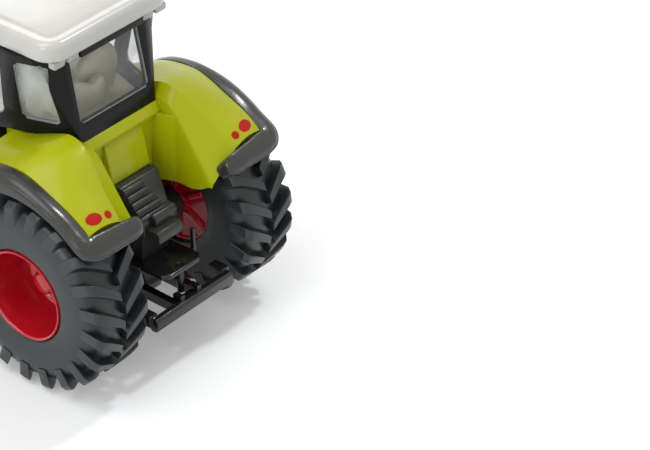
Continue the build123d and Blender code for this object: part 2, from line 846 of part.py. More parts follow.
def cheek():
    """Wall between the body and the tyre, from the crest down to the axle housing."""
    crest = smooth(inner_crest)
    low = [(13.5, 31.8), (9.5, deck_height), (body_front, deck_height), (body_front, crest[0][1])]
    return side_prism(crest + low, body_half_width, body_half_width + body_wall)


def rear_body():
    """Green casting between cab and gearbox, with both fenders."""
    core = side_prism(
        [
            (body_front, deck_height),
            (0.6, deck_height),
            (0.6, 30.4),
            (1.6, body_ledge),
            (0.7, sill_height),
            (body_front, sill_height),
        ],
        -body_half_width,
        body_half_width,
    )
    bulge = side_prism(
        [
            (housing_front, housing_top),
            (3.2, housing_top),
            (1.5, body_ledge - 0.4),
            (housing_front, body_ledge - 0.4),
        ],
        -housing_half_width,
        housing_half_width,
    )
    corner = [(8.0, 0.2), (8.0, 1.0), (body_half_width, 5.2), (body_half_width, 0.2)]
    corner_wall = plan_prism(corner, deck_height, body_ledge)
    inner = body_half_width + body_wall
    middle_crest = between(inner_crest, seam_crest, fender_crown)
    fender = skin(
        [
            fender_section(inner, inner_crest),
            fender_section((inner + fender_seam) / 2, middle_crest),
            fender_section(fender_seam, seam_crest),
        ]
    )
    side = cheek() + corner_wall + (fender - wheel_arch())
    body = core + bulge + both_sides(side)
    housing_room = block(
        (-housing_half_width, housing_half_width),
        (housing_front, housing_block_rear),
        (deck_height - 1, housing_top),
    )
    cab_seat = cab_block(0, sill_height, cab_top, cab_floor)
    return body - housing_room - cab_seat


def fender_trim():
    """Dark edge of the left fender, rounded outwards, with the flap behind the tyre."""
    shoulder = fender_seam + 0.6 * (fender_edge - fender_seam)
    edge_crest = [(y, z - trim_edge_drop) for y, z in outer_crest]
    edge = skin(
        [
            fender_section(fender_seam, seam_crest),
            fender_section(shoulder, between(seam_crest, outer_crest, 0.2)),
            fender_section(fender_edge, edge_crest),
        ]
    )
    edge -= wheel_arch()
    inner = body_half_width + body_wall
    outer_radius = arch_radius + flap_thickness
    sector = side_prism(
        [(0, rear_axle_z)] + [about_axle(2 * arch_radius, a) for a in (trim_rear_angle, seam_angle)],
        inner,
        fender_edge,
    )
    outside = x_rod(outer_radius, inner, fender_edge, 0, rear_axle_z)
    outside = chamfer(outside.edges(), length=0.4 * flap_thickness)
    flap = (outside & sector) - wheel_arch()
    low = about_axle(arch_radius, trim_rear_angle)[1]
    seen = Pos(inner, 0, low) * Rot(X=90) * rear_corners()
    return edge + (flap & seen)


def rear_corners():
    """Outline of the flap from behind, with its lower corners rounded."""
    width = fender_edge - body_half_width - body_wall
    sheet = Rectangle(width, arch_radius, align=(Align.MIN, Align.MIN))
    low = sheet.vertices().group_by(Axis.Y)[0].sort_by(Axis.X)
    sheet = fillet(low[-1], flap_corner)
    low = sheet.vertices().group_by(Axis.Y)[0].sort_by(Axis.X)
    sheet = fillet(low[0], flap_inner_corner)
    return extrude(sheet, amount=2 * arch_radius, both=True)


# ---- roof and lights ----------------------------------------------------------------


def roof():
    """Slab with round corners and a raised panel in the middle."""
    length = roof_rear - roof_front
    centre = Pos(0, (roof_rear + roof_front) / 2, cab_top)
    slab = extrude(RectangleRounded(2 * roof_half_width, length, roof_corner), amount=roof_thickness)
    slab = chamfer(slab.edges().group_by(Axis.Z)[-1], length=roof_edge_round)
    inset = 2 * roof_panel_inset
    panel = extrude(
        RectangleRounded(2 * roof_half_width - inset, length - inset, roof_corner - 1.0),
        amount=roof_thickness + roof_panel_rise,
    )
    return centre * (slab + panel)


def work_light(x, y):
    """Lamp that hangs under the roof."""
    width, depth, height = work_light_size
    lamp = Box(width, depth, height, align=(Align.CENTER, Align.CENTER, Align.MAX))
    lamp = chamfer(lamp.edges().group_by(Axis.Z)[0], length=0.3)
    return Pos(x, y, cab_top) * lamp


# ---- bonnet and front ---------------------------------------------------------------


def bonnet_section(y, half_width, top):
    """Corners of a section with cut shoulders, in a plane across the tractor."""
    radius = bonnet_round
    shoulder = [
        (half_width - radius * (1 - cos(radians(a))), top - radius * (1 - sin(radians(a))))
        for a in (0, 45, 90)
    ]
    left = [(half_width, deck_height)] + shoulder
    right = [(-x, z) for x, z in reversed(left)]
    return [Vector(x, y, z) for x, z in left + right]


def bonnet():
    """Hood from the windscreen to the nose, with room for the grille and headlights."""
    sections = [
        bonnet_section(-30.0, bonnet_rear_half_width, bonnet_rear_top),
        bonnet_section(front_axle_y, bonnet_middle_half_width, bonnet_middle_top),
        bonnet_section(bonnet_nose_y, bonnet_nose_half_width, bonnet_nose_top),
        bonnet_section(bonnet_tip_y, bonnet_tip_half_width, bonnet_nose_top - bonnet_tip_drop),
    ]
    hood = skin(sections)
    windscreen = cab_panes(0)[-1]
    hood = split(hood, bisect_by=windscreen, keep=Keep.TOP)
    hood -= grille_room()
    for x in (-headlight_x, headlight_x):
        hood -= headlight_room(x)
    return hood


def grille_room():
    return block(
        (-grille_half_width, grille_half_width),
        (bonnet_tip_y - 1, bonnet_nose_y + grille_depth),
        (deck_height - 1, grille_top - 1.4),
    )


def headlight_room(x):
    width, depth, height = headlight_size
    return Pos(x, bonnet_nose_y, headlight_z) * Box(width, 3 * depth, height)


def front_grille():
    """Dark insert with level slats."""
    low, high = deck_height, grille_top - 1.4
    back = block(
        (-grille_half_width, grille_half_width),
        (bonnet_nose_y + 0.6, bonnet_nose_y + grille_depth),
        (low, high),
    )
    pitch = (high - low) / grille_slat_count
    for i in range(grille_slat_count):
        middle = low + (i + 0.5) * pitch
        back += block(
            (-grille_half_width, grille_half_width),
            (bonnet_tip_y + 0.2, bonnet_nose_y + 0.7),
            (middle - grille_slat_share / 2 * pitch, middle + grille_slat_share / 2 * pitch),
        )
    return back


def headlight(x):
    width, depth, height = headlight_size
    lens_front = bonnet_tip_y - 0.1
    lens_rear = bonnet_nose_y + 1.5 * depth
    lens = block(
        (x - width, x + width),
        (lens_front, lens_rear),
        (headlight_z - height, headlight_z + height),
    )
    return headlight_room(x) & lens


def front_coupling():
    """Bracket ahead of the grille with a vertical bore for a tow pin."""
    half = front_coupling_half_width
    flat_end = coupling_tip_y + front_bore_setback - 2 * front_bore_radius
    jaw = side_prism(
        [
            (front_support_y, front_support_low),
            (front_support_y, front_support_high),
            (flat_end, front_support_high),
            (coupling_tip_y, front_coupling_tip),
            (coupling_tip_y, front_support_low),
        ],
        -half,
        half,
    )
    jaw = chamfer(jaw.edges().filter_by(Axis.Z).sort_by(Axis.Y)[:2], length=half / 3)
    bore = Cylinder(front_bore_radius, 2 * front_support_high)
    return jaw - Pos(0, coupling_tip_y + front_bore_setback) * bore


# ---- fittings -----------------------------------------------------------------------


def exhaust_stack():
    """Silencer and tail pipe beside the windscreen, on a bracket from the bonnet."""
    standing = (Align.CENTER, Align.CENTER, Align.MIN)
    silencer = Cylinder(exhaust_radius, silencer_length, align=standing)
    pipe = Cylinder(exhaust_pipe_radius, exhaust_top - exhaust_bottom, align=standing)
    stack = Pos(exhaust_x, exhaust_y, exhaust_bottom) * (silencer + pipe)
    mouth = Plane(origin=(exhaust_x, exhaust_y, exhaust_top - 0.8), z_dir=(0, 0.6, 0.8))
    stack = split(stack, bisect_by=mouth, keep=Keep.BOTTOM)
    foot = block(
        (exhaust_x, -5.0),
        (exhaust_y - exhaust_foot / 2, exhaust_y + exhaust_foot / 2),
        (exhaust_bottom, exhaust_bottom + exhaust_foot),
    )
    return stack + (foot - bonnet())


def mirror_left():
    """Mirror head on an arm from the front pillar."""
    width, depth, height = mirror_size
    arm_top = mirror_top - mirror_arm
    arm = block(
        (9.0, mirror_reach - width / 2),
        (mirror_y + 0.1, mirror_y + 0.1 + mirror_arm),
        (arm_top - mirror_arm, arm_top),
    )
    head = block(
        (mirror_reach - width, mirror_reach),
        (mirror_y, mirror_y + depth),
        (mirror_top - height, mirror_top),
    )
    head = chamfer(head.edges().filter_by(Axis.Y), length=width / 4)
    return (arm - cab_block(0, sill_height, cab_top, cab_floor)) + head


def fuel_tank():
    tank = block(
        (gearbox_half_width, tank_half_width), (tank_front, tank_rear), (tank_bottom, tank_top)
    )
    outer = tank.edges().filter_by(Axis.Y).sort_by(Axis.X)[-2:]
    return chamfer(outer, length=tank_corner)


def steps():
    """Three treads between two side plates, on the outer face of the tank."""
    rear = tank_rear - 0.4
    front = rear - step_length
    low = tank_bottom - step_drop
    high = tank_top - tank_corner
    outer = tank_half_width + step_width
    ladder = block((tank_half_width, outer), (front, front + step_plate), (low, high))
    ladder += block((tank_half_width, outer), (rear - step_plate, rear), (low, high))
    rise = (high - low - step_thickness) / (step_count - 1)
    for i in range(step_count):
        z = low + i * rise
        ladder += block((tank_half_width, outer), (front, rear), (z, z + step_thickness))
    return ladder


# ---- export -------------------------------------------------------------------------


def save(name, solid):
    """Write one sub-part, moved from the rear axle to the common origin."""
    moved = Pos(0, origin_shift, 0) * solid
    export_step(moved, f"parts/{name}.step")


def save_pair(name, left):
    save(f"left_{name}", left)
    save(f"right_{name}", right_of(left))


def main():
    os.makedirs("parts", exist_ok=True)
    save("chassis", chassis())
    save("transmission_housing", transmission_housing())
    save("coupling_plate", coupling_plate())
    save("coupling_pin", coupling_pin())
    save("lower_link", lower_link())
    save("link_pivot_pin", link_pivot_pin())
    save("rear_axle", axle(rear_wheel_plane, rear_axle_end, 0, rear_axle_z))
    save("front_axle", axle(front_wheel_plane, front_axle_end, front_axle_y, front_axle_z))
    wheels = [
        ("rear_rim", rear_rim, rear_wheel_plane, 0, rear_axle_z),
        ("rear_tyre", rear_tyre, rear_wheel_plane, 0, rear_axle_z),
        ("front_rim", front_rim, front_wheel_plane, front_axle_y, front_axle_z),
        ("front_tyre", front_tyre, front_wheel_plane, front_axle_y, front_axle_z),
    ]
    for name, piece, plane, y, z in wheels:
        left, right = wheel_pair(piece, plane, y, z)
        save(f"left_{name}", left)
        save(f"right_{name}", right)
    save("rear_body", rear_body())
    save_pair("fender_trim", fender_trim())
    save("cab_frame", cab_frame())
    save("cab_glazing", cab_glazing())
    save("cab_interior", cab_interior())
    save("driver_seat", driver_seat())
    save("passenger_seat", passenger_seat())
    save("steering_column", steering_column())
    save("roof", roof())
    for place, y in (
        ("rear", roof_rear - work_light_setback),
        ("front", roof_front + work_light_setback),
    ):
        save_pair(f"{place}_outer_work_light", work_light(work_light_outer_x, y))
        save_pair(f"{place}_inner_work_light", work_light(work_light_inner_x, y))
    save("bonnet", bonnet())
    save("front_grille", front_grille())
    save_pair("headlight", headlight(headlight_x))
    save("front_coupling", front_coupling())
    save("exhaust_stack", exhaust_stack())
    save_pair("mirror", mirror_left())
    save_pair("fuel_tank", fuel_tank())
    save_pair("steps", steps())


main()
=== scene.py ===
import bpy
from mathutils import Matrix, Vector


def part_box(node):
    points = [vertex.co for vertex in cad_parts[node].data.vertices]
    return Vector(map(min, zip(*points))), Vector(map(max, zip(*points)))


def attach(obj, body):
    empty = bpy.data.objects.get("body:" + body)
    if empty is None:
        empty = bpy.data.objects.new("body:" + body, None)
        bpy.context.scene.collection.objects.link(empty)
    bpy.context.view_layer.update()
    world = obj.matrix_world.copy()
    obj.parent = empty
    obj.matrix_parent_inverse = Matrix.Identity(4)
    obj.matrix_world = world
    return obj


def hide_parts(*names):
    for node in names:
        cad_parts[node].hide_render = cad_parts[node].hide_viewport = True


bl_info = {
    "name": "Toy Tractor",
    "version": (1, 0, 0),
    "blender": (4, 5, 0),
    "location": "3D View > Sidebar > Tractor",
    "description": "Dresses the CAD frame of a die-cast toy tractor with its finished pieces",
    "category": "Add Mesh",
}

from functools import cached_property
from math import atan2, cos, degrees, hypot, pi, radians, sin

import bmesh
import bpy
from mathutils import Matrix, Vector

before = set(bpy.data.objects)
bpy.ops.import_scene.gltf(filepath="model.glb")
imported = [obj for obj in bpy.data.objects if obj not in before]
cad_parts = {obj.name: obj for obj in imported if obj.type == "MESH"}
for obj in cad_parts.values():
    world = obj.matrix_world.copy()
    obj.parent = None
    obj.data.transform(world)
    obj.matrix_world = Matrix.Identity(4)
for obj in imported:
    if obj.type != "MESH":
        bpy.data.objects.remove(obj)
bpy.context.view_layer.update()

MM = 0.001
SIDES = ("left", "right")
MERGE_DISTANCE = 0.0015 * MM
# Faces that turn by less than this are one flat face, and a quad may be this uneven
FLAT = radians(0.5)
UNEVEN_QUAD = radians(60)


def middle(node):
    """Centre of a CAD node's box."""
    low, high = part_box(node)
    return (low + high) / 2


REAR_AXLE = middle("rear_axle")
FRONT_AXLE = middle("front_axle")


# ---- modelling by hand ---------------------------------------------------------------


def clear_selection():
    if bpy.context.mode != "OBJECT":
        bpy.ops.object.mode_set(mode="OBJECT")
    bpy.ops.object.select_all(action="DESELECT")


def take(piece):
    """Makes a piece the only one selected, and the active one."""
    clear_selection()
    piece.select_set(True)
    bpy.context.view_layer.objects.active = piece


def edit(piece, mode="FACE"):
    """Opens a piece in edit mode with nothing selected."""
    take(piece)
    bpy.ops.object.mode_set(mode="EDIT")
    bpy.ops.mesh.select_mode(type=mode)
    bpy.ops.mesh.select_all(action="DESELECT")


def edit_whole(piece, mode="FACE"):
    """Opens a piece in edit mode with all of it selected."""
    edit(piece, mode)
    bpy.ops.mesh.select_all(action="SELECT")


def done():
    bpy.ops.object.mode_set(mode="OBJECT")


def choose(part, test):
    """Selects the open mesh's verts, edges or faces that pass the test, and no others."""
    bpy.ops.mesh.select_all(action="DESELECT")
    mesh = bpy.context.edit_object.data
    shape = bmesh.from_edit_mesh(mesh)
    shape.normal_update()
    for item in getattr(shape, part):
        if test(item):
            item.select_set(True)
    shape.select_flush_mode()
    bmesh.update_edit_mesh(mesh)


def added(name):
    """The object that the last operator made, renamed."""
    piece = bpy.context.object
    piece.name = name
    piece.data.name = name
    return piece


def apply_place(piece):
    take(piece)
    bpy.ops.object.transform_apply(location=True, rotation=True, scale=True)


def modify(piece, kind, **settings):
    """Adds a modifier, sets it and applies it."""
    take(piece)
    modifier = piece.modifiers.new(kind.title(), kind)
    for key, value in settings.items():
        setattr(modifier, key, value)
    bpy.ops.object.modifier_apply(modifier=modifier.name)


def round_edges(piece, width, segments=3, angle=32):
    """Rounds every edge that turns by more than the angle."""
    modify(
        piece,
        "BEVEL",
        width=width,
        segments=segments,
        limit_method="ANGLE",
        angle_limit=radians(angle),
        use_clamp_overlap=True,
        loop_slide=False,
        miter_outer="MITER_ARC",
    )


def shade(piece, angle=40):
    take(piece)
    bpy.ops.object.shade_smooth_by_angle(angle=radians(angle))


def tidy_mesh(piece):
    """Merges doubled points and turns every face outwards."""
    edit_whole(piece)
    bpy.ops.mesh.remove_doubles(threshold=MERGE_DISTANCE)
    bpy.ops.mesh.normals_make_consistent(inside=False)
    done()


def own_copy(piece, name):
    """Copy with its own mesh, free of the frame."""
    copy = piece.copy()
    copy.data = piece.data.copy()
    for key in list(copy.keys()):
        del copy[key]
    copy.parent = None
    copy.name = name
    copy.data.name = name
    bpy.context.scene.collection.objects.link(copy)
    return copy


def softened(node, name, width, segments, reshape):
    """Copy of a CAD node with its edges rounded, as they come out of a mould. Flat faces
    are split into simple ones first, because the rounding folds a face with a hole."""
    piece = own_copy(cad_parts[node], name)
    take(piece)
    bpy.ops.mesh.customdata_custom_splitnormals_clear()
    edit_whole(piece)
    bpy.ops.mesh.remove_doubles(threshold=MERGE_DISTANCE)
    bpy.ops.mesh.dissolve_limited(angle_limit=FLAT)
    bpy.ops.mesh.normals_make_consistent(inside=False)
    choose("faces", lambda face: len(face.verts) > 4)
    bpy.ops.mesh.quads_convert_to_tris(quad_method="BEAUTY", ngon_method="BEAUTY")
    bpy.ops.mesh.tris_convert_to_quads(face_threshold=FLAT, shape_threshold=UNEVEN_QUAD)
    done()
    if reshape:
        reshape(piece)
    round_edges(piece, width, segments)
    shade(piece, 36)
    return piece


def other_side(piece):
    """A left piece mirrored to the right of the tractor, with its own mesh."""
    copy = own_copy(piece, piece.name.replace("left", "right"))
    edit_whole(copy)
    bpy.ops.transform.resize(value=(-1, 1, 1), center_override=(0, 0, 0))
    bpy.ops.mesh.flip_normals()
    done()
    return copy


def joined(pieces, name):
    """One object from several."""
    clear_selection()
    for piece in pieces:
        piece.select_set(True)
    bpy.context.view_layer.objects.active = pieces[0]
    bpy.ops.object.join()
    return added(name)


def turned(name, outline, steps, centre):
    """Piece turned about a line along X through the centre; the outline holds x and radius
    from the centre."""
    points = [centre + Vector((x, 0, radius)) for x, radius in outline]
    clear_selection()
    bpy.ops.mesh.primitive_plane_add(size=MM, location=points[0])
    piece = added(name)
    apply_place(piece)
    edit_whole(piece, "VERT")
    bpy.ops.mesh.merge(type="CENTER")
    for here, after in zip(points, points[1:]):
        bpy.ops.mesh.extrude_region_move(TRANSFORM_OT_translate={"value": after - here})
    bpy.ops.mesh.select_all(action="SELECT")
    bpy.ops.mesh.spin(steps=steps, angle=2 * pi, center=centre, axis=(1, 0, 0))
    done()
    tidy_mesh(piece)
    return piece


def drawn_through(name, sections):
    """Piece drawn through closed sections of as many corners each: a flat start that is
    extruded again and again, and whose corners are set to the next section."""
    clear_selection()
    bpy.ops.mesh.primitive_circle_add(vertices=len(sections[0]), radius=MM, fill_type="NGON")
    piece = added(name)
    edit_whole(piece, "VERT")
    mesh = piece.data
    shape = bmesh.from_edit_mesh(mesh)
    shape.verts.ensure_lookup_table()
    for corner, point in zip(shape.verts, sections[0]):
        corner.co = point
    bmesh.update_edit_mesh(mesh)
    for here, after in zip(sections, sections[1:]):
        bpy.ops.mesh.extrude_region_move(TRANSFORM_OT_translate={"value": (0, 0, 0)})
        shape = bmesh.from_edit_mesh(mesh)
        for corner in [v for v in shape.verts if v.select]:
            nearest = min(range(len(here)), key=lambda i: (corner.co - Vector(here[i])).length)
            corner.co = after[nearest]
        bmesh.update_edit_mesh(mesh)
    done()
    tidy_mesh(piece)
    return piece


def on_curve(a, b, c, d, t):
    """Value at t on a curve from b to c that comes from a and goes on to d."""
    bend = 2 * a - 5 * b + 4 * c - d
    twist = 3 * b - a - 3 * c + d
    return b + t * ((c - a) + t * (bend + t * twist)) / 2


def smooth_line(stations, parts=4):
    """Points on a smooth line through the stations, which may hold any count of numbers."""
    ends = [stations[0], *stations, stations[-1]]
    line = []
    for before, start, end, after in zip(ends, ends[1:], ends[2:], ends[3:]):
        for step in range(parts):
            t = step / parts
            line.append(tuple(on_curve(*four, t) for four in zip(before, start, end, after)))
    return [*line, tuple(stations[-1])]


def blend(first, second, share):
    return tuple(a + share * (b - a) for a, b in zip(first, second))


def from_axle(x, y, z):
    """Place given in millimetres, with y measured rearwards from the rear axle."""
    return Vector((x * MM, REAR_AXLE.y + y * MM, z * MM))


def about_axle(x, angle, radius):
    """Place given by its angle about the rear axle, up from the rear, and its radius."""
    turn = radians(angle)
    return REAR_AXLE + Vector((x, radius * cos(turn), radius * sin(turn))) * MM


def side_prism(name, outline, x_low, x_high):
    """Block with a (y, z) outline, between two distances from the middle."""
    ends = [[from_axle(x, y, z) for y, z in outline] for x in (x_low, x_high)]
    return drawn_through(name, ends)


def inset_steps(steps):
    """Insets the chosen faces again and again, by a thickness and a depth in mm."""
    for thickness, depth in steps:
        bpy.ops.mesh.inset(thickness=thickness * MM, depth=depth * MM)


def spun_copies(piece, count, centre):
    """Repeats a piece all the way round a line along X, in the same mesh."""
    edit_whole(piece)
    bpy.ops.mesh.spin(
        steps=count - 1,
        dupli=True,
        angle=2 * pi * (count - 1) / count,
        center=centre,
        axis=(1, 0, 0),
    )
    done()


def recoat(mesh, material):
    """Gives a mesh one material."""
    mesh.materials.clear()
    mesh.materials.append(material)


def finish_piece(piece, material, replaced=None, body="chassis"):
    """Gives a finished piece its material and its body, and hides the CAD node it stands for.
    """
    recoat(piece.data, material)
    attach(piece, body)
    if replaced:
        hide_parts(replaced)


def finish_pair(left, material, replaced=None, body="chassis"):
    """Mirrors a left piece and finishes both, which may stand for a pair of CAD nodes."""
    for side, piece in zip(SIDES, (left, other_side(left))):
        finish_piece(piece, material, replaced and f"{side}_{replaced}", body)


def stands_for(
    node, material, width, segments=3, name=None, body="chassis", reshape=None
):
    """Puts a softened piece in place of a CAD node."""
    piece = softened(node, name or f"{node}_finished", width, segments, reshape)
    finish_piece(piece, material, node, body)


# ---- finishes ------------------------------------------------------------------------


class Wire:
    """Output of a node, which can be used in sums."""

    def __init__(self, finish, socket):
        self.finish = finish
        self.socket = socket

    def maths(self, operation, *values):
        inputs = dict(enumerate(values))
        return self.finish.node("ShaderNodeMath", {"operation": operation}, inputs)

    def __add__(self, other):
        return self.maths("ADD", self, other)

    __radd__ = __add__

    def __sub__(self, other):
        return self.maths("SUBTRACT", self, other)

    def __rsub__(self, other):
        return self.maths("SUBTRACT", other, self)

    def __mul__(self, other):
        return self.maths("MULTIPLY", self, other)

    __rmul__ = __mul__

    def __pow__(self, other):
        return self.maths("POWER", self, other)

    def __abs__(self):
        return self.maths("ABSOLUTE", self)

    def larger(self, other):
        return self.maths("MAXIMUM", self, other)


class Finish:
    """Material, or world, that is wired node by node."""

    def __init__(self, name, kind="materials", end="ShaderNodeOutputMaterial"):
        self.holder = getattr(bpy.data, kind).new(name)
        self.holder.use_nodes = True
        self.tree = self.holder.node_tree
        self.tree.nodes.clear()
        self.output = self.tree.nodes.new(end)

    def node(self, kind, settings=None, inputs=None, output=0):
        """Adds a node, sets it, then fills its sockets with numbers or wires."""
        node = self.tree.nodes.new(kind)
        for key, value in (settings or {}).items():
            setattr(node, key, value)
        for key, value in (inputs or {}).items():
            if isinstance(value, Wire):
                self.tree.links.new(value.socket, node.inputs[key])
            else:
                node.inputs[key].default_value = value
        return Wire(self, node.outputs[output])

    @cached_property
    def place(self):
        """Place in the piece's own coordinates."""
        return self.node("ShaderNodeTexCoord", output="Object")

    def part(self, vector, axis):
        return self.node("ShaderNodeSeparateXYZ", None, {"Vector": vector}, output=axis)

    def noise(self, scale, detail=2.0, roughness=0.5):
        """Cloudy pattern from 0 to 1; the scale is in lumps a millimetre."""
        inputs = {
            "Vector": self.place,
            "Scale": scale / MM,
            "Detail": detail,
            "Roughness": roughness,
        }
        return self.node("ShaderNodeTexNoise", None, inputs)

    def between(self, mask, low, high):
        """Colour that goes from low to high with the mask; either may be a wire."""
        low, high = (end if isinstance(end, Wire) else (*end, 1) for end in (low, high))
        settings = {"data_type": "RGBA"}
        return self.node("ShaderNodeMix", settings, {0: mask, 6: low, 7: high}, output=2)

    def steps(self, mask, low, high):
        """Mask that rises from 0 at low to 1 at high."""
        settings = {"interpolation_type": "SMOOTHSTEP"}
        inputs = {"Value": mask, "From Min": low, "From Max": high}
        return self.node("ShaderNodeMapRange", settings, inputs)

    def seen(self):
        """1 for rays that show the stage itself, from the eye or a mirror, else 0."""
        kinds = ("Is Camera Ray", "Is Glossy Ray", "Is Transmission Ray")
        eye, gloss, through = (self.node("ShaderNodeLightPath", output=kind) for kind in kinds)
        return eye.larger(gloss.larger(through))

    def bump(self, height, depth):
        inputs = {"Height": height, "Distance": depth}
        return self.node("ShaderNodeBump", None, inputs, output="Normal")

    def surface(self, **inputs):
        """Ends the finish with a shader; a name such as base_color is its Base Color."""
        shader = self.tree.nodes.new("ShaderNodeBsdfPrincipled")
        names = {socket.name.lower(): socket for socket in shader.inputs if socket.enabled}
        for key, value in inputs.items():
            socket = names[key.replace("_", " ")]
            if isinstance(value, Wire):
                self.tree.links.new(value.socket, socket)
            else:
                socket.default_value = value
        self.tree.links.new(shader.outputs[0], self.output.inputs["Surface"])
        return self.holder


def tint(colour, factor):
    return tuple(min(1.0, channel * factor) for channel in colour)


def glossy_paint(name, colour, roughness=0.24, sheen=0.2, coat=0.14):
    """Sprayed paint on a casting: a faint orange peel, slightly uneven in depth."""
    f = Finish(name)
    cloud = f.noise(0.09, 3.0)
    peel = f.noise(2.6, 1.0)
    speck = f.steps(f.noise(7.0, 1.0), 0.62, 0.8)
    return f.surface(
        base_color=f.between(cloud, tint(colour, 0.93), tint(colour, 1.06)),
        roughness=roughness + 0.06 * cloud + 0.08 * speck,
        normal=f.bump(peel, 0.006 * MM),
        specular_ior_level=sheen,
        coat_weight=coat,
        coat_roughness=0.06,
    )


def moulded_plastic(name, colour, roughness, grain=0.01, coat=0.0, sheen=0.5):
    """Moulded plastic: a fine grain, in mm of depth, duller and glossier by turns."""
    f = Finish(name)
    cloud = f.noise(0.12, 3.0)
    fine = f.noise(6.0)
    flow = f.noise(0.5)
    return f.surface(
        base_color=f.between(cloud, tint(colour, 0.86), tint(colour, 1.16)),
        roughness=roughness - 0.08 + 0.1 * flow + 0.06 * fine,
        normal=f.bump(fine + 0.5 * flow, grain * MM),
        coat_weight=coat,
        coat_roughness=0.12,
        specular_ior_level=sheen,
    )


def tyre_rubber(name, colour, shape, axle):
    """Soft rubber with a dusty bloom and fine scuffs, and painted shade over the tread, deepest
    between the bars.
    """
    f = Finish(name)
    spread = f.node(
        "ShaderNodeVectorMath", {"operation": "SUBTRACT"}, {0: f.place, 1: axle}, "Vector"
    )
    x, y, z = (f.part(spread, axis) for axis in "XYZ")
    radius = (y * y + z * z) ** 0.5
    tread = shape["section"][0][1] * MM
    shoulder = shape["section"][SHOULDER][0] * MM
    across = abs(abs(x) - shape["middle"] * MM)
    high = f.steps(radius, tread - 0.6 * MM, tread + 1.2 * MM)
    outside = f.steps(across, shoulder - 0.8 * MM, shoulder + 0.2 * MM)
    # Painted shade: the tread is darkened, most of all down between the bars; the sidewalls
    # keep the plain rubber
    painted_light = outside.larger(0.3 + 0.32 * high)
    cloud = f.noise(0.2, 4.0, 0.6)
    fine = f.noise(9.0, 3.0, 0.6)
    bloom = f.steps(f.noise(1.1, 4.0, 0.65), 0.45, 0.75)
    rubber = f.between(cloud, tint(colour, 0.78), tint(colour, 1.15))
    dusty = f.between(0.25 * bloom, rubber, tint(colour, 2.0))
    return f.surface(
        base_color=f.between(painted_light, tint(colour, 0.1), dusty),
        roughness=0.26 + 0.14 * bloom + 0.06 * fine + 0.08 * outside,
        normal=f.bump(fine + 0.4 * cloud, 0.014 * MM),
    )


def clear_plastic(name, colour):
    """Clear moulding: nearly unseen face on, brighter at a slant, and a painted reflection that
    makes it hazy on the cab's sides.
    """
    f = Finish(name)
    slant = f.node("ShaderNodeLayerWeight", None, {"Blend": 0.35}, output="Facing")
    ripple = f.noise(0.25, 1.0)
    # Painted reflection: the side panes are made less clear and paler in blotches
    side = f.steps(abs(f.part(f.place, "X")), 10.4 * MM, 10.8 * MM)
    painted_reflection = side * (0.14 + 0.16 * f.steps(f.noise(0.14, 1.0), 0.35, 0.7))
    return f.surface(
        base_color=f.between(ripple, tint(colour, 0.95), tint(colour, 1.03)),
        roughness=0.03 + 0.04 * ripple,
        normal=f.bump(ripple, 0.02 * MM),
        alpha=0.05 + 0.35 * slant**2.0 + painted_reflection,
        specular_ior_level=1.0,
    )


def steel_wire(name, colour):
    """Bright drawn wire with fine lines along the tractor's width."""
    f = Finish(name)
    stretched = f.node("ShaderNodeMapping", None, {"Vector": f.place, "Scale": (0.05, 1, 1)})
    lines = f.node("ShaderNodeTexNoise", None, {"Vector": stretched, "Scale": 9.0 / MM})
    return f.surface(
        base_color=f.between(lines, tint(colour, 0.8), tint(colour, 1.15)),
        metallic=1.0,
        roughness=0.22 + 0.16 * lines,
        normal=f.bump(lines, 0.004 * MM),
    )


def lamp_lens(name, colour):
    """Pale lens with ribs that run up and down."""
    f = Finish(name)
    ribs = f.node(
        "ShaderNodeTexWave",
        {"wave_type": "BANDS", "bands_direction": "X"},
        {"Vector": f.place, "Scale": 0.6 / MM},
    )
    cloud = f.noise(0.4)
    return f.surface(
        base_color=f.between(cloud, tint(colour, 0.82), tint(colour, 1.1)),
        roughness=0.12 + 0.08 * cloud,
        normal=f.bump(ribs, 0.05 * MM),
        alpha=0.82 + 0.1 * cloud,
        coat_weight=0.6,
    )


def floor_white(name, colour):
    """Matt white that glows a little where it is seen itself, and more far away."""
    f = Finish(name)
    cloud = f.noise(0.004)
    away = f.node("ShaderNodeVectorMath", {"operation": "LENGTH"}, {0: f.place}, "Value")
    glow = f.seen() * (0.24 + 0.3 * f.steps(away, 0.25, 1.2))
    return f.surface(
        base_color=f.between(cloud, tint(colour, 0.985), colour),
        roughness=0.75 + 0.1 * cloud,
        emission_color=f.between(glow, (0, 0, 0), (1, 1, 1)),
        emission_strength=1.0,
        specular_ior_level=0.2,
    )


def white_sky(name):
    """White all round, half as bright on the toy as where it is seen itself."""
    f = Finish(name, "worlds", "ShaderNodeOutputWorld")
    inputs = {"Color": (1, 1, 1, 1), "Strength": 0.5 + 0.5 * f.seen()}
    sky = f.node("ShaderNodeBackground", None, inputs)
    f.tree.links.new(sky.socket, f.output.inputs["Surface"])
    return f.holder


# ---- sizes and colours that a user would change --------------------------------------


def colour_property(name, description, default):
    return bpy.props.FloatVectorProperty(
        name=name,
        description=description,
        default=default,
        size=3,
        min=0.0,
        max=1.0,
        subtype="COLOR",
    )


def length_property(name, description, default):
    return bpy.props.FloatProperty(
        name=name, description=description, default=default, min=0.0, unit="LENGTH", precision=5
    )


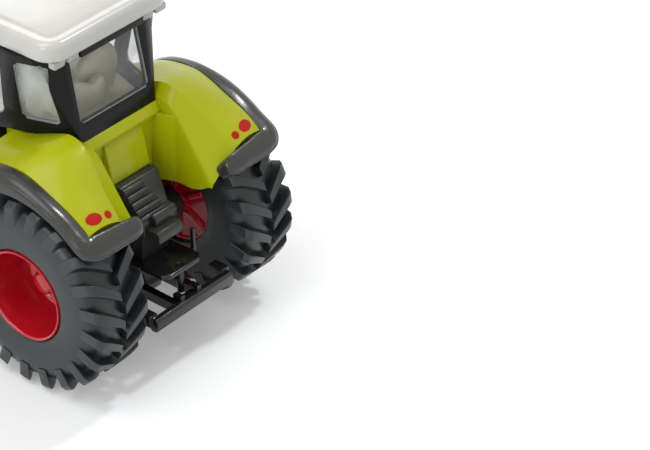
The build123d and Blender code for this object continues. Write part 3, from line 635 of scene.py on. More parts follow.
class TractorColours(bpy.types.PropertyGroup):
    body: colour_property("Body", "Paint of the bonnet and fenders", (0.43, 0.465, 0.003))
    cab: colour_property("Cab frame", "Plastic of the pillars", (0.01, 0.0105, 0.0105))
    trim: colour_property("Fender trim", "Plastic edge of the fenders", (0.038, 0.04, 0.036))
    chassis: colour_property("Chassis", "Paint of the casting below", (0.026, 0.029, 0.026))
    hitch: colour_property("Coupling", "Plastic of the coupling", (0.012, 0.012, 0.013))
    wheel: colour_property("Wheels", "Plastic of the rims", (0.5, 0.007, 0.018))
    tyre: colour_property("Tyres", "Rubber of the tyres", (0.026, 0.031, 0.034))
    roof: colour_property("Roof", "Plastic of the roof", (0.58, 0.572, 0.54))
    seat: colour_property("Interior", "Plastic of seats and floor", (0.46, 0.44, 0.33))
    glass: colour_property("Windows", "Tint of the clear plastic", (0.86, 0.9, 0.9))
    lamp: colour_property("Lamps", "Lens of the lamps", (0.5, 0.51, 0.5))
    steel: colour_property("Steel", "Axles and pins", (0.55, 0.55, 0.54))
    tail_light: colour_property("Tail lights", "Print on the fenders", (0.45, 0.01, 0.006))
    floor: colour_property("Floor", "Table that the tractor stands on", (0.86, 0.87, 0.88))


class TractorSizes(bpy.types.PropertyGroup):
    casting_edge: length_property("Casting edge", "Rounding of the painted body", 0.35 * MM)
    plastic_edge: length_property("Plastic edge", "Rounding of the cab and coupling", 0.16 * MM)
    lug_edge: length_property("Lug edge", "Rounding of the tyre bars", 0.1 * MM)
    roof_edge: length_property("Roof edge", "Rounding of the roof's upper edge", 1.5 * MM)
    roof_corner: length_property("Roof corner", "Radius of the roof's corners", 4.0 * MM)


def colours():
    return bpy.context.scene.tractor_colours


def sizes():
    return bpy.context.scene.tractor_sizes


# ---- wheels --------------------------------------------------------------------------

# A wheel's middle lies this far from the tractor's, and its tyre and rim are given from
# the wheel's middle, in millimetres. A tyre's section holds the distance from it and the
# radius, from the tread's middle over the shoulder, which is its fifth point, to the bead.
REAR_WHEEL = 19.3
FRONT_WHEEL = 18.7
SHOULDER = 4
REAR_TYRE = {
    "middle": REAR_WHEEL,
    "section": [
        (0.0, 17.35), (3.0, 17.25), (4.5, 16.95), (5.4, 16.3), (6.05, 15.2), (6.4, 13.9),
        (6.46, 12.4), (6.4, 11.1), (6.3, 10.0), (6.15, 9.2), (5.85, 8.8), (5.5, 8.75),
        (5.5, 9.95),
    ],
    # x, shift along the tread, top and foot radius, width at top and foot
    "lug": [
        (0.2, -2.5, 18.92, 17.0, 1.7, 2.5),
        (1.5, -1.45, 18.92, 17.0, 1.8, 2.6),
        (3.0, -0.35, 18.92, 16.9, 1.9, 2.7),
        (4.5, 0.65, 18.92, 16.6, 2.0, 2.8),
        (5.5, 1.2, 18.75, 15.9, 2.1, 2.8),
        (6.25, 1.55, 17.7, 14.6, 2.1, 2.7),
        (6.47, 1.7, 15.4, 14.2, 1.7, 2.1),
    ],
    "lugs": 21,
    "steps": 84,
    # inner bead, from the sidewall to the rim
    "bead": [(-5.35, 8.4), (-5.4, 8.15), (-5.75, 8.2), (-6.0, 8.6), (-6.2, 9.8)],
}
FRONT_TYRE = {
    "middle": FRONT_WHEEL,
    "section": [
        (0.0, 12.85), (2.6, 12.75), (3.7, 12.45), (4.5, 11.9), (5.05, 11.0), (5.32, 9.9),
        (5.36, 8.9), (5.28, 7.8), (5.1, 6.8), (4.85, 6.5), (4.5, 6.45), (4.5, 7.35),
    ],
    "lug": [
        (0.18, -1.9, 14.13, 12.5, 1.6, 2.3),
        (1.3, -1.1, 14.13, 12.5, 1.7, 2.4),
        (2.6, -0.2, 14.13, 12.4, 1.8, 2.5),
        (3.8, 0.5, 14.13, 12.1, 1.9, 2.5),
        (4.6, 0.95, 13.98, 11.6, 1.9, 2.5),
        (5.2, 1.2, 13.1, 10.7, 1.8, 2.3),
        (5.37, 1.3, 11.4, 10.3, 1.5, 1.9),
    ],
    "lugs": 16,
    "steps": 64,
    "bead": [(-4.2, 6.2), (-4.3, 6.0), (-4.6, 6.05), (-4.8, 6.4), (-4.95, 7.2)],
}


def tyre_lug(shape, centre, turn, side):
    """One bar of the tread, drawn through its sections from the middle outwards."""
    sections = []
    for x, shift, top, foot, top_width, foot_width in shape["lug"]:
        corners = (
            (foot, -foot_width), (foot, foot_width), (top, top_width), (top, -top_width),
        )
        section = []
        for radius, width in corners:
            angle = turn + (shift + width / 2) / top
            offset = Vector((side * x, -radius * sin(angle), radius * cos(angle))) * MM
            section.append(centre + offset)
        sections.append(section)
    return drawn_through("tread_lug", sections)


def wheel_middle(shape, axle):
    return Vector((shape["middle"] * MM, axle.y, axle.z))


def tyre(name, shape, axle):
    """Tyre on the tractor's left: a turned carcass and two rows of bars, half a pitch
    apart."""
    centre = wheel_middle(shape, axle)
    half = shape["section"]
    inner_wall = [(-x, radius) for x, radius in reversed(half[1:-2])]
    bore = half[-1][1]
    outline = [(shape["bead"][0][0], bore), *shape["bead"], *inner_wall, *half]
    outline = [(x * MM, radius * MM) for x, radius in outline + outline[:1]]
    carcass = turned(name, outline, shape["steps"], centre)
    shade(carcass, 50)
    pitch = 2 * pi / shape["lugs"]
    rows = []
    for side, start in ((1, 0.0), (-1, 0.5)):
        row = tyre_lug(shape, centre, start * pitch, side)
        round_edges(row, sizes().lug_edge, segments=1, angle=38)
        spun_copies(row, shape["lugs"], centre)
        shade(row, 28)
        rows.append(row)
    return joined([carcass, *rows], name)


REAR_RIM = {
    "middle": REAR_WHEEL,
    "section": [
        (1.6, 0.0), (1.6, 1.5), (1.25, 2.1), (0.7, 2.3), (-2.9, 2.6), (-3.4, 3.2),
        (-3.55, 4.0), (-3.55, 6.3), (-3.3, 7.1), (-2.6, 7.6), (-1.4, 7.85), (2.4, 8.0),
        (5.6, 8.1), (6.0, 8.16), (6.2, 8.3), (6.26, 8.46), (6.2, 8.6), (6.0, 8.68),
        (5.4, 8.7), (5.3, 9.8), (-5.15, 9.8), (-5.25, 9.6), (-5.25, 8.2), (-5.35, 8.0),
        (-5.3, 7.7), (-4.9, 7.4), (-4.8, 3.2), (-5.0, 2.8), (-5.85, 2.65), (-5.85, 1.02),
        (0.8, 1.02), (0.8, 0.0),
    ],
    "nut_circle": 5.0,
    "nut_face": -3.55,
    "rib_face": -4.8,
    "rib_reach": (2.7, 7.6),
}
FRONT_RIM = {
    "middle": FRONT_WHEEL,
    "section": [
        (1.6, 0.0), (1.6, 1.4), (1.2, 1.9), (0.7, 2.1), (-2.3, 2.3), (-2.8, 2.8),
        (-2.9, 3.4), (-2.9, 4.5), (-2.6, 5.15), (-1.9, 5.5), (-0.9, 5.65), (4.6, 5.85),
        (4.95, 5.92), (5.12, 6.05), (5.17, 6.2), (5.1, 6.32), (4.95, 6.38), (4.4, 6.4),
        (4.3, 7.2), (-4.05, 7.2), (-4.15, 7.0), (-4.15, 6.1), (-4.25, 5.9), (-4.2, 5.6),
        (-3.9, 5.3), (-3.8, 2.9), (-4.0, 2.7), (-5.35, 2.6), (-5.35, 1.02), (0.8, 1.02),
        (0.8, 0.0),
    ],
    "nut_circle": 3.7,
    "nut_face": -2.9,
    "rib_face": -3.8,
    "rib_reach": (2.6, 5.5),
}
RIM_STEPS = 72
# Nuts and ribs in millimetres: how far a nut's middle stands out of the dish, the insets
# of its chamfer and of its stud, and how deep a rib's middle lies in the dish
NUTS = 8
NUT_RADIUS, NUT_LENGTH, NUT_HEIGHT = 0.52, 0.7, 0.2
NUT_INSETS = ((0.12, 0.1), (0.14, 0))
STUD_LENGTH = 0.16
RIBS = 6
RIB_DEPTH, RIB_WIDTH, RIB_SINK = 0.9, 1.1, 0.25
RIB_INSETS = ((0.2, 0.12),)


def wheel_nuts(shape, centre):
    """Ring of nuts round the hub, chamfered outside, each with its stud's end."""
    place = Vector((shape["nut_face"] + NUT_HEIGHT, 0, shape["nut_circle"])) * MM
    clear_selection()
    bpy.ops.mesh.primitive_cylinder_add(
        vertices=6,
        radius=NUT_RADIUS * MM,
        depth=NUT_LENGTH * MM,
        location=centre + place,
        rotation=(0, pi / 2, 0),
    )
    nut = added("wheel_nuts")
    apply_place(nut)
    edit(nut)
    choose("faces", lambda face: face.normal.x > 0.9)
    inset_steps(NUT_INSETS)
    outwards = (STUD_LENGTH * MM, 0, 0)
    bpy.ops.mesh.extrude_region_move(TRANSFORM_OT_translate={"value": outwards})
    done()
    spun_copies(nut, NUTS, centre)
    shade(nut, 30)
    return nut


def wheel_ribs(shape, centre):
    """Ribs on the inner side of the dish, from the hub to the barrel."""
    low, high = shape["rib_reach"]
    clear_selection()
    bpy.ops.mesh.primitive_cube_add(size=1, location=centre)
    rib = added("wheel_ribs")
    rib.location = centre + Vector((shape["rib_face"] - RIB_SINK, 0, (low + high) / 2)) * MM
    rib.scale = Vector((RIB_DEPTH, RIB_WIDTH, high - low)) * MM
    apply_place(rib)
    edit(rib)
    choose("faces", lambda face: face.normal.x < -0.9)
    inset_steps(RIB_INSETS)
    done()
    round_edges(rib, 0.08 * MM, 2)
    spun_copies(rib, RIBS, centre)
    shade(rib, 30)
    return rib


def rim(name, shape, axle):
    """Rim on the tractor's left: a deep turned dish with nuts outside and ribs inside."""
    centre = wheel_middle(shape, axle)
    outline = [(x * MM, radius * MM) for x, radius in shape["section"]]
    dish = turned(name, outline, RIM_STEPS, centre)
    shade(dish, 42)
    return joined([dish, wheel_nuts(shape, centre), wheel_ribs(shape, centre)], name)


# ---- fenders -------------------------------------------------------------------------

# Lines along the left fender from its front to its rear, station by station, as x, y from
# the rear axle and z in millimetres: the crease over the body, the edge where the dome
# begins and the seam with the trim.
CREASE = [(9.5, y, z) for y, z in (
    (-18.4, 31.4), (-13.0, 41.2), (-10.0, 41.8), (-7.3, 42.0), (-2.3, 42.4), (0.4, 42.8),
    (2.8, 42.7), (5.0, 41.4), (9.3, 35.3), (12.2, 31.2), (13.4, 29.4),
)]
DOME_EDGE = [
    (11.2, -18.6, 31.5),
    (11.2, -13.0, 41.6),
    (11.2, -10.0, 42.0),
    (11.2, -7.3, 42.5),
    (11.3, -2.3, 44.3),
    (11.5, 0.4, 45.1),
    (11.8, 3.0, 44.7),
    (12.4, 5.4, 43.2),
    (13.9, 9.3, 39.4),
    (14.6, 12.4, 36.8),
    (14.9, 14.25, 34.85),
]
SEAM = [(22.0, y, z) for y, z in (
    (-18.6, 31.5), (-13.4, 38.9), (-9.8, 41.1), (-6.0, 42.1), (-1.6, 42.4), (1.0, 41.9),
    (3.4, 41.0), (5.6, 40.0), (9.0, 38.5), (12.0, 36.8), (13.9, 35.2),
)]
# The wall between body and tyre stands on the deck: its foot's x from the crease and how
# that grows over the flank to its outer side, its foot as y and z, and the strips of drop
# and x that close it along the body
DECK = 27.0
BODY_FRONT = -17.7
CHEEK_START, CHEEK_GROWTH, CHEEK_OUTSIDE = 9.8, 3.4, 11.1
CHEEK_FOOT = [(12.4, 28.7), (10.6, 27.6), (8.6, DECK), (BODY_FRONT, DECK), (BODY_FRONT, 31.0)]
CHEEK_STRIPS = ((0.45, 9.5), (0.2, 9.56), (0.05, 9.7))
# The arch over the tyre: its radius, the angle of its front end, the fender's thickness
# over its rear end, how fast that end runs out into the arch, and the points along it
ARCH_RADIUS = 20.2
ARCH_FRONT = 146.0
FENDER_SKIN = 0.9
LIP_FADE = 6
UNDER_POINTS = 24
# Shares of the way over the flank and over the dome, the last share of the flank that
# stands on the wall, and the dome's rise
FLANK_SHARES = (0.03, 0.1, 0.4, 0.42, 0.7, 0.88)
DOME_SHARES = (0.0, 0.05, 0.12, 0.25, 0.4, 0.55, 0.7, 0.82, 0.92, 0.98, 1.0)
CHEEK_SHARE = 0.4
DOME_CROWN = 0.7


def arch_side(rear, x):
    """Underside of a fender at x, from under its rear end to its front end."""
    dy, dz = rear[1], rear[2] - REAR_AXLE.z / MM
    start = degrees(atan2(dz, dy))
    start_radius = min(ARCH_RADIUS, hypot(dy, dz) - FENDER_SKIN)
    line = []
    for i in range(UNDER_POINTS):
        share = i / (UNDER_POINTS - 1)
        angle = start + share * (ARCH_FRONT - start)
        radius = ARCH_RADIUS + (start_radius - ARCH_RADIUS) * max(0, 1 - LIP_FADE * share)
        line.append(about_axle(x, angle, radius))
    return line


def cheek_side(x):
    """Lower edge of the wall between body and tyre, with points shared out along it."""
    corners = [Vector((x, y, z)) for y, z in CHEEK_FOOT]
    extra = UNDER_POINTS - len(corners)
    line = [from_axle(*corner) for corner in corners[:3]]
    for i in range(extra):
        line.append(from_axle(*corners[2].lerp(corners[3], (i + 1) / (extra + 1))))
    return line + [from_axle(*corner) for corner in corners[3:]]


def fender(name):
    """Left fender: a dome over the tyre, a flank that widens rearwards and the wall below."""
    crease, edge, seam = smooth_line(CREASE), smooth_line(DOME_EDGE), smooth_line(SEAM)
    sections = []
    for drop, x in CHEEK_STRIPS:
        top = [from_axle(x, y, z - drop) for _, y, z in crease]
        sections.append(top + cheek_side(x))
    for share in FLANK_SHARES:
        line = [blend(a, b, share) for a, b in zip(crease, edge)]
        if share <= CHEEK_SHARE:
            under = cheek_side(min(CHEEK_OUTSIDE, CHEEK_START + CHEEK_GROWTH * share))
        else:
            under = arch_side(line[-1], max(CHEEK_OUTSIDE, line[-1][0]))
        sections.append([from_axle(*point) for point in line] + under)
    for share in DOME_SHARES:
        rise = DOME_CROWN * sin(pi * share)
        line = [blend(a, b, share) for a, b in zip(edge, seam)]
        top = [from_axle(x, y, z + rise) for x, y, z in line]
        sections.append(top + arch_side(line[-1], line[-1][0]))
    piece = drawn_through(name, sections)
    shade(piece, 38)
    return piece


# Wall behind the cab as y and z with the ledge under the rear window, its half width, the
# boss over the gearbox housing as y and z, and the wall's left corner as x and y
REAR_WALL = [
    (BODY_FRONT, DECK), (0.5, DECK), (0.5, 30.4), (1.1, 40.0), (1.9, 40.4), (2.0, 41.0),
    (0.9, 42.4), (BODY_FRONT, 42.4),
]
WALL_HALF = 9.6
HOUSING_TOP = 32.5
HOUSING_HALF = 4.8
HOUSING_BOSS = [(0.0, HOUSING_TOP), (3.2, HOUSING_TOP), (1.5, 40.2), (0.0, 40.2)]
WALL_CORNER = [(7.9, 0.2), (7.9, 1.2), (9.7, 5.4), (9.7, 0.2)]
CORNER_TOP = 40.7


def body_core():
    """Wall behind the cab, its slanted corners and the boss over the gearbox housing."""
    wall = side_prism("rear_wall", REAR_WALL, -WALL_HALF, WALL_HALF)
    round_edges(wall, 0.16 * MM)
    boss = side_prism("housing_boss", HOUSING_BOSS, -HOUSING_HALF, HOUSING_HALF)
    round_edges(boss, 0.3 * MM)
    pieces = [wall, boss]
    for side in (1, -1):
        ends = [
            [from_axle(side * x, y, z) for x, y in WALL_CORNER] for z in (DECK, CORNER_TOP)
        ]
        corner = drawn_through("wall_corner", ends)
        round_edges(corner, 0.14 * MM)
        pieces.append(corner)
    for piece in pieces:
        shade(piece, 36)
    return pieces


# Name, place, half width and half height of each print, and its turn about its normal
TAIL_LIGHTS = (
    ("left_tail_light", (19.4, 12.6, 36.9), 1.65, 1.1, -12),
    ("left_reflector", (16.4, 13.0, 36.5), 0.78, 0.75, 0),
)
PRINT_CORNERS = 36
# Each print has two rings inside its rim, and is laid on from just above the fender
PRINT_RINGS = (0.3, 0.3)
PRINT_START = 0.3 * MM
PRINT_LIFT = 0.05 * MM
PRINT_THICKNESS = 0.1 * MM


def tail_light(carrier, name, place, half_width, half_height, turn):
    """Oval print that follows the fender under it."""
    centre = from_axle(*place)
    _, point, normal, _ = carrier.closest_point_on_mesh(centre)
    clear_selection()
    bpy.ops.mesh.primitive_circle_add(vertices=PRINT_CORNERS, radius=1, fill_type="NGON")
    print_patch = added(name)
    edit_whole(print_patch)
    for thickness in PRINT_RINGS:
        bpy.ops.mesh.inset(thickness=thickness, depth=0)
    done()
    across = Vector((1, 0, 0))
    across = (across - across.dot(normal) * normal).normalized()
    up = normal.cross(across)
    axes = Matrix((across, up, normal)).transposed().to_4x4()
    axes = axes @ Matrix.Rotation(radians(turn), 4, "Z")
    size = Matrix.Diagonal((half_width * MM, half_height * MM, MM, 1))
    start = Matrix.Translation(point + PRINT_START * normal)
    print_patch.data.transform(start @ (axes @ size))
    modify(
        print_patch,
        "SHRINKWRAP",
        target=carrier,
        wrap_method="NEAREST_SURFACEPOINT",
        wrap_mode="ABOVE_SURFACE",
        offset=PRINT_LIFT,
    )
    modify(print_patch, "SOLIDIFY", thickness=PRINT_THICKNESS, offset=-1)
    tidy_mesh(print_patch)
    shade(print_patch)
    return print_patch


# Stations along the left trim, from its front end over the tyre, round the corner and
# along the rear band: x, angle and radius on its inner side, then on its outer side.
TRIM = [
    (22.1, 146.0, 21.7, 24.4, 146.0, 21.5),
    (22.1, 143.5, 22.6, 25.3, 143.5, 22.4),
    (22.1, 134.0, 23.4, 25.55, 134.0, 23.2),
    (22.1, 124.0, 24.05, 25.6, 123.0, 23.8),
    (22.1, 114.0, 24.25, 25.6, 113.0, 23.8),
    (22.1, 104.0, 23.95, 25.6, 103.0, 23.4),
    (22.1, 92.5, 23.35, 25.6, 93.0, 22.95),
    (22.1, 76.5, 21.95, 25.6, 78.0, 22.3),
    (22.1, 65.0, 21.6, 25.6, 66.0, 21.8),
    (22.1, 56.0, 21.5, 25.6, 57.0, 21.6),
    (22.1, 51.0, 21.6, 25.6, 50.5, 21.9),
    (22.0, 49.4, 21.7, 25.5, 46.0, 22.15),
    (21.9, 49.2, 21.8, 24.9, 41.8, 22.2),
    (21.6, 49.1, 21.9, 23.6, 38.6, 22.2),
    (21.0, 49.0, 21.95, 21.6, 37.2, 22.2),
    (19.0, 48.5, 22.0, 19.0, 36.9, 22.2),
    (16.0, 47.8, 22.0, 16.0, 36.9, 22.2),
    (13.5, 47.2, 22.0, 13.5, 36.9, 22.2),
    (12.2, 46.7, 21.9, 12.2, 37.4, 22.1),
    (11.3, 45.6, 21.6, 11.3, 38.8, 21.8),
    (10.9, 43.6, 21.0, 10.9, 41.2, 21.1),
]
# Share of the way across the trim, and how far its top lies below the plain one there
TRIM_PROFILE = [
    (0.0, 0.4), (0.02, 0.15), (0.06, 0.02), (0.12, 0.0), (0.3, -0.06), (0.5, -0.04),
    (0.66, 0.1), (0.78, 0.32), (0.86, 0.58), (0.89, 0.72), (0.92, 0.76), (0.95, 0.78),
    (0.98, 0.95), (1.0, 1.25),
]
# Radius that the trim reaches down to over the tyre, and behind it, which is inside this x
TRIM_INSIDE = ARCH_RADIUS + 0.1
TRIM_END_X = 12.8
TRIM_END_INSIDE = 18.5


def fender_trim(name):
    """Left trim: a band along the fender's outer edge that turns into a thick rounded
    band behind the tyre."""
    sections = []
    for x_in, angle_in, radius_in, x_out, angle_out, radius_out in smooth_line(TRIM, 3):
        inside = TRIM_INSIDE if x_in > TRIM_END_X else TRIM_END_INSIDE
        inner, outer = (x_in, angle_in, radius_in), (x_out, angle_out, radius_out)
        section = [about_axle(x_in, angle_in, inside)]
        for share, drop in TRIM_PROFILE:
            x, angle, radius = blend(inner, outer, share)
            section.append(about_axle(x, angle, radius - drop))
        section.append(about_axle(x_out, angle_out, inside))
        sections.append(section)
    piece = drawn_through(name, sections)
    shade(piece, 34)
    return piece


# ---- roof, housing, seats and windows ------------------------------------------------

# Raised panel on the roof, as insets of a thickness and a depth that add up to its rise
ROOF_PANEL = ((0.8, 0), (0.3, 0.05), (0.4, 0.2), (0.3, 0.1))
ROOF_RISE = 0.4 * MM
ROOF_LOWER_EDGE = 0.4 * MM
CLOSE = 0.01 * MM


def roof_shell():
    """Roof slab: round corners, thick round upper edge and a softly raised middle."""
    low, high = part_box("roof")
    size = high - low
    clear_selection()
    bpy.ops.mesh.primitive_cube_add(size=1, location=(low + high) / 2)
    piece = added("roof_shell")
    piece.scale = (size.x, size.y, size.z - ROOF_RISE)
    piece.location.z -= ROOF_RISE / 2
    apply_place(piece)
    edit(piece, "EDGE")
    choose("edges", lambda edge: abs(edge.verts[0].co.z - edge.verts[1].co.z) > 1 * MM)
    bpy.ops.mesh.bevel(offset=sizes().roof_corner, segments=10, affect="EDGES")
    top = high.z - ROOF_RISE - CLOSE
    choose("edges", lambda edge: all(v.co.z > top for v in edge.verts))
    bpy.ops.mesh.bevel(offset=sizes().roof_edge, segments=6, affect="EDGES")
    choose("edges", lambda edge: all(v.co.z < low.z + CLOSE for v in edge.verts))
    bpy.ops.mesh.bevel(offset=ROOF_LOWER_EDGE, segments=3, affect="EDGES")
    bpy.ops.mesh.select_mode(type="FACE")
    choose("faces", lambda face: face.normal.z > 0.99 and face.calc_area() > 100 * MM * MM)
    inset_steps(ROOF_PANEL)
    done()
    shade(piece, 50)
    return piece


# Housing behind the gearbox as y and z, and how much narrower it is below its waist
HOUSING = [
    (4.0, DECK), (2.0, DECK), (2.0, HOUSING_TOP), (4.7, HOUSING_TOP),
    (4.95, HOUSING_TOP - 0.25), (8.7, 26.0), (8.7, 23.2), (8.2, 22.8), (8.0, 18.0), (4.0, 18.0),
]
HOUSING_WAIST = 28.0
HOUSING_TAPER = 0.72
# Level ribs on its left: the right end of each from the top rib down, the section from
# the slope as y and z, the step in y and z from one to the next, and how much shorter
# each is on the left
HOUSING_RIB_ENDS = (-0.4, -0.6, -1.3, -1.9, -2.6)
HOUSING_RIB = ((-1, 0), (0.75, 0), (1.15, -0.3), (1.1, -0.75), (0, -0.85))
HOUSING_RIB_START = (4.7, HOUSING_TOP - 0.1)
HOUSING_RIB_PITCH = (0.76, -1.27)
HOUSING_RIB_SHORTER = 0.22
# Blocks that stand out over the coupling plate: outline as y and z, right and left end
HOUSING_BLOCKS = (
    ([(6.0, 25.0), (6.0, 27.2), (9.3, 27.2), (10.0, 26.5), (10.0, 24.8)], -3.9, 1.7),
    ([(6.0, 22.8), (6.0, 25.0), (11.4, 25.0), (12.0, 24.4), (12.0, 22.9)], -3.1, 3.1),
)


def ribbed_housing(name):
    """Housing with its slope, the ribs on it and the blocks below them."""
    slope = side_prism(name, HOUSING, -HOUSING_HALF, HOUSING_HALF)
    edit(slope)
    choose("verts", lambda corner: corner.co.z < HOUSING_WAIST * MM)
    bpy.ops.transform.resize(value=(HOUSING_TAPER, 1, 1), center_override=(0, 0, 0))
    done()
    round_edges(slope, 0.18 * MM)
    pieces = [slope]
    for i, end in enumerate(HOUSING_RIB_ENDS):
        y, z = (start + i * step for start, step in zip(HOUSING_RIB_START, HOUSING_RIB_PITCH))
        section = [(y + dy, z + dz) for dy, dz in HOUSING_RIB]
        rib = side_prism("housing_rib", section, end, HOUSING_HALF - HOUSING_RIB_SHORTER * i)
        round_edges(rib, 0.1 * MM)
        pieces.append(rib)
    for outline, right, left in HOUSING_BLOCKS:
        block = side_prism("housing_block", outline, right, left)
        round_edges(block, 0.2 * MM)
        pieces.append(block)
    for piece in pieces:
        shade(piece, 36)
    return joined(pieces, name)


def squared(piece):
    """Cuts level with every corner, so that no flat face goes round an opening."""
    levels = sorted({round(corner.co.z, 6) for corner in piece.data.vertices})
    edit(piece)
    for level in levels[1:-1]:
        bpy.ops.mesh.select_all(action="SELECT")
        bpy.ops.mesh.bisect(plane_co=(0, 0, level), plane_no=(0, 0, 1))
    done()


# A seat's back is its outline as seen from behind, as x and height, up the left side and
# down the right. Its rear face stands at y and leans by so much a millimetre.
DRIVER_SEAT = {
    "back": [
        (1.5, 0), (1.9, 4.6), (0.9, 7.6), (-1.4, 9.4), (-4.2, 9.9), (-6.9, 8.9), (-8.5, 6.3),
        (-8.7, 3.0), (-8.0, 0),
    ],
    "rear": -7.2,
    "thickness": 2.2,
    "lean": 0.1,
    "cushion_x": (-7.4, 0.6),
    "cushion_front": -15,
    "cushion_top": 46.1,
}
PASSENGER_SEAT = {
    "back": [
        (7.4, 0), (7.5, 4.6), (6.2, 6.9), (4.4, 7.2), (2.6, 6.0), (0.8, 5.0), (-1.0, 5.6),
        (-2.4, 5.0), (-2.8, 3.0), (-2.6, 0),
    ],
    "rear": -4.4,
    "thickness": 2.0,
    "lean": 0.05,
    "cushion_x": (1.2, 7.3),
    "cushion_front": -11.4,
    "cushion_top": 45.6,
}
# How a back is filled out through its thickness: share of the depth and of the outline
BACK_FILLING = ((0, 0.7), (0.1, 0.87), (0.3, 0.97), (0.7, 0.97), (0.9, 0.87), (1.0, 0.7))
SEAT_FLOOR = 43.6
CUSHION_START = 0.7
CUSHION_EDGE = 0.6 * MM


def seat(name, back, rear, thickness, lean, cushion_x, cushion_front, cushion_top):
    """Moulded seat: a backrest with full rounded edges and a cushion before it."""
    line = smooth_line(back, 3)
    centre = sum(x for x, _ in line) / len(line)
    sections = []
    for depth, size in BACK_FILLING:
        section = []
        for x, z in line:
            y = rear - depth * thickness + lean * z
            height = SEAT_FLOOR + (1 + size) / 2 * z
            section.append(from_axle(centre + size * (x - centre), y, height))
        sections.append(section)
    backrest = drawn_through(f"{name}_back", sections)
    front, joint = cushion_front, rear - CUSHION_START * thickness
    outline = [
        (joint, SEAT_FLOOR),
        (joint, cushion_top - 0.3),
        (front + 1.5, cushion_top),
        (front, cushion_top - 0.6),
        (front, SEAT_FLOOR),
    ]
    cushion = side_prism(f"{name}_cushion", outline, *cushion_x)
    round_edges(cushion, CUSHION_EDGE, 4)
    piece = joined([backrest, cushion], name)
    shade(piece, 60)
    return piece


# How the cab's flat panes lean: change of y with height on the rear and front panes, and
# change of x with height and with y on the left quarter pane and on the left door.
REAR_LEAN = -0.178
FRONT_LEAN = 0.114
QUARTER_LEAN = (0.2356, -0.3195)
DOOR_LEAN = 0.033
# A point that the rear pane and the left quarter pane share
PILLAR_REAR = (9.4, 0.65, 43.1)
# Heights between which the windows' upper edges lie, and how far they go up; x of the
# rear window's side edges, their lowest point and how far they go out
WINDOW_TOPS = (55.9, 57.3)
WINDOW_RAISE = 1.25
REAR_WINDOW_SIDES = (7.0, 8.45)
REAR_WINDOW_LOW = 44
REAR_WINDOW_WIDEN = 0.45
# Where the panes lie: the front pane ahead of the first y, doors ahead of the second,
# the rear pane behind the third and inside the x
FRONT_PANE, DOOR_PANE, REAR_PANE, REAR_PANE_SIDE = -28.6, -10.5, -5, 9.2


def open_windows(piece):
    """Draws the windows up under the roof and the rear pillars slimmer, each edge sliding
    along its own pane."""
    edit(piece, "VERT")
    mesh = piece.data
    shape = bmesh.from_edit_mesh(mesh)
    for corner in shape.verts:
        x, y, z = corner.co.x / MM, (corner.co.y - REAR_AXLE.y) / MM, corner.co.z / MM
        side = 1 if x > 0 else -1
        beside = REAR_WINDOW_SIDES[0] < abs(x) < REAR_WINDOW_SIDES[1]
        behind = y > REAR_PANE and beside and REAR_WINDOW_LOW < z < WINDOW_TOPS[1]
        top = WINDOW_TOPS[0] < z < WINDOW_TOPS[1]
        if behind:
            x += side * REAR_WINDOW_WIDEN
        if top:
            z += WINDOW_RAISE
            if y < FRONT_PANE:
                y += FRONT_LEAN * WINDOW_RAISE
            elif abs(x) < REAR_PANE_SIDE and y > REAR_PANE:
                y += REAR_LEAN * WINDOW_RAISE
            elif y > DOOR_PANE:
                x += side * QUARTER_LEAN[0] * WINDOW_RAISE
            else:
                x += side * DOOR_LEAN * WINDOW_RAISE
        if behind or top:
            corner.co = from_axle(x, y, z)
    bmesh.update_edit_mesh(mesh)
    done()


# Corners of the rear window as x and z, and of the left quarter window as y and z
REAR_WINDOW = [(8.65, 45.6), (-8.65, 45.6), (-8.45, 58.45), (8.45, 58.45)]
QUARTER_WINDOW = [(-9.5, 45.6), (-2.2, 45.6), (-2.8, 58.45), (-8.2, 58.45)]
# Pale strips round the windows, a painted highlight on the clear insert's edges: their width
# and corner radius in mm
GLINT_WIDTH = 0.22
GLINT_CORNER = 1.0
# A strip's section: on its outer or its inner line, and how far behind the pane
GLINT_SECTION = ((0, 0.5), (0, 0.16), (1, 0.2), (1, 0.5))


def rear_pane(point):
    x, z = point
    return Vector((x, PILLAR_REAR[1] + REAR_LEAN * (z - PILLAR_REAR[2]), z))


def quarter_pane(point):
    y, z = point
    lean = QUARTER_LEAN[0] * (z - PILLAR_REAR[2]) + QUARTER_LEAN[1] * (y - PILLAR_REAR[1])
    return Vector((PILLAR_REAR[0] + lean, y, z))


def rounded_corners(outline, radius, steps=4):
    """A closed outline with each corner turned into a short curve."""
    line = []
    for i, corner in enumerate(outline):
        corner = Vector(corner)
        before, after = Vector(outline[i - 1]), Vector(outline[(i + 1) % len(outline)])
        start = corner + radius * (before - corner).normalized()
        end = corner + radius * (after - corner).normalized()
        for step in range(steps + 1):
            t = step / steps
            line.append((1 - t) ** 2 * start + 2 * t * (1 - t) * corner + t * t * end)
    return line


def glint_strip(name, outline, pane, outwards):
    """Thin pale strip inside a window's opening: a painted highlight along the clear insert's
    edge.
    """
    centre = sum((Vector(corner) for corner in outline), Vector((0, 0))) / len(outline)
    outer = rounded_corners(outline, GLINT_CORNER)
    inner = [point + (centre - point).normalized() * GLINT_WIDTH for point in outer]
    inwards = -Vector(outwards)
    sections = []
    for lines in zip(outer, inner):
        places = [pane(lines[i]) + depth * inwards for i, depth in GLINT_SECTION]
        sections.append([from_axle(*place) for place in places])
    piece = drawn_through(name, sections + sections[:1])
    edit(piece)
    bpy.ops.mesh.select_interior_faces()
    bpy.ops.mesh.delete(type="FACE")
    done()
    tidy_mesh(piece)
    shade(piece)
    return piece


# ---- operators -----------------------------------------------------------------------

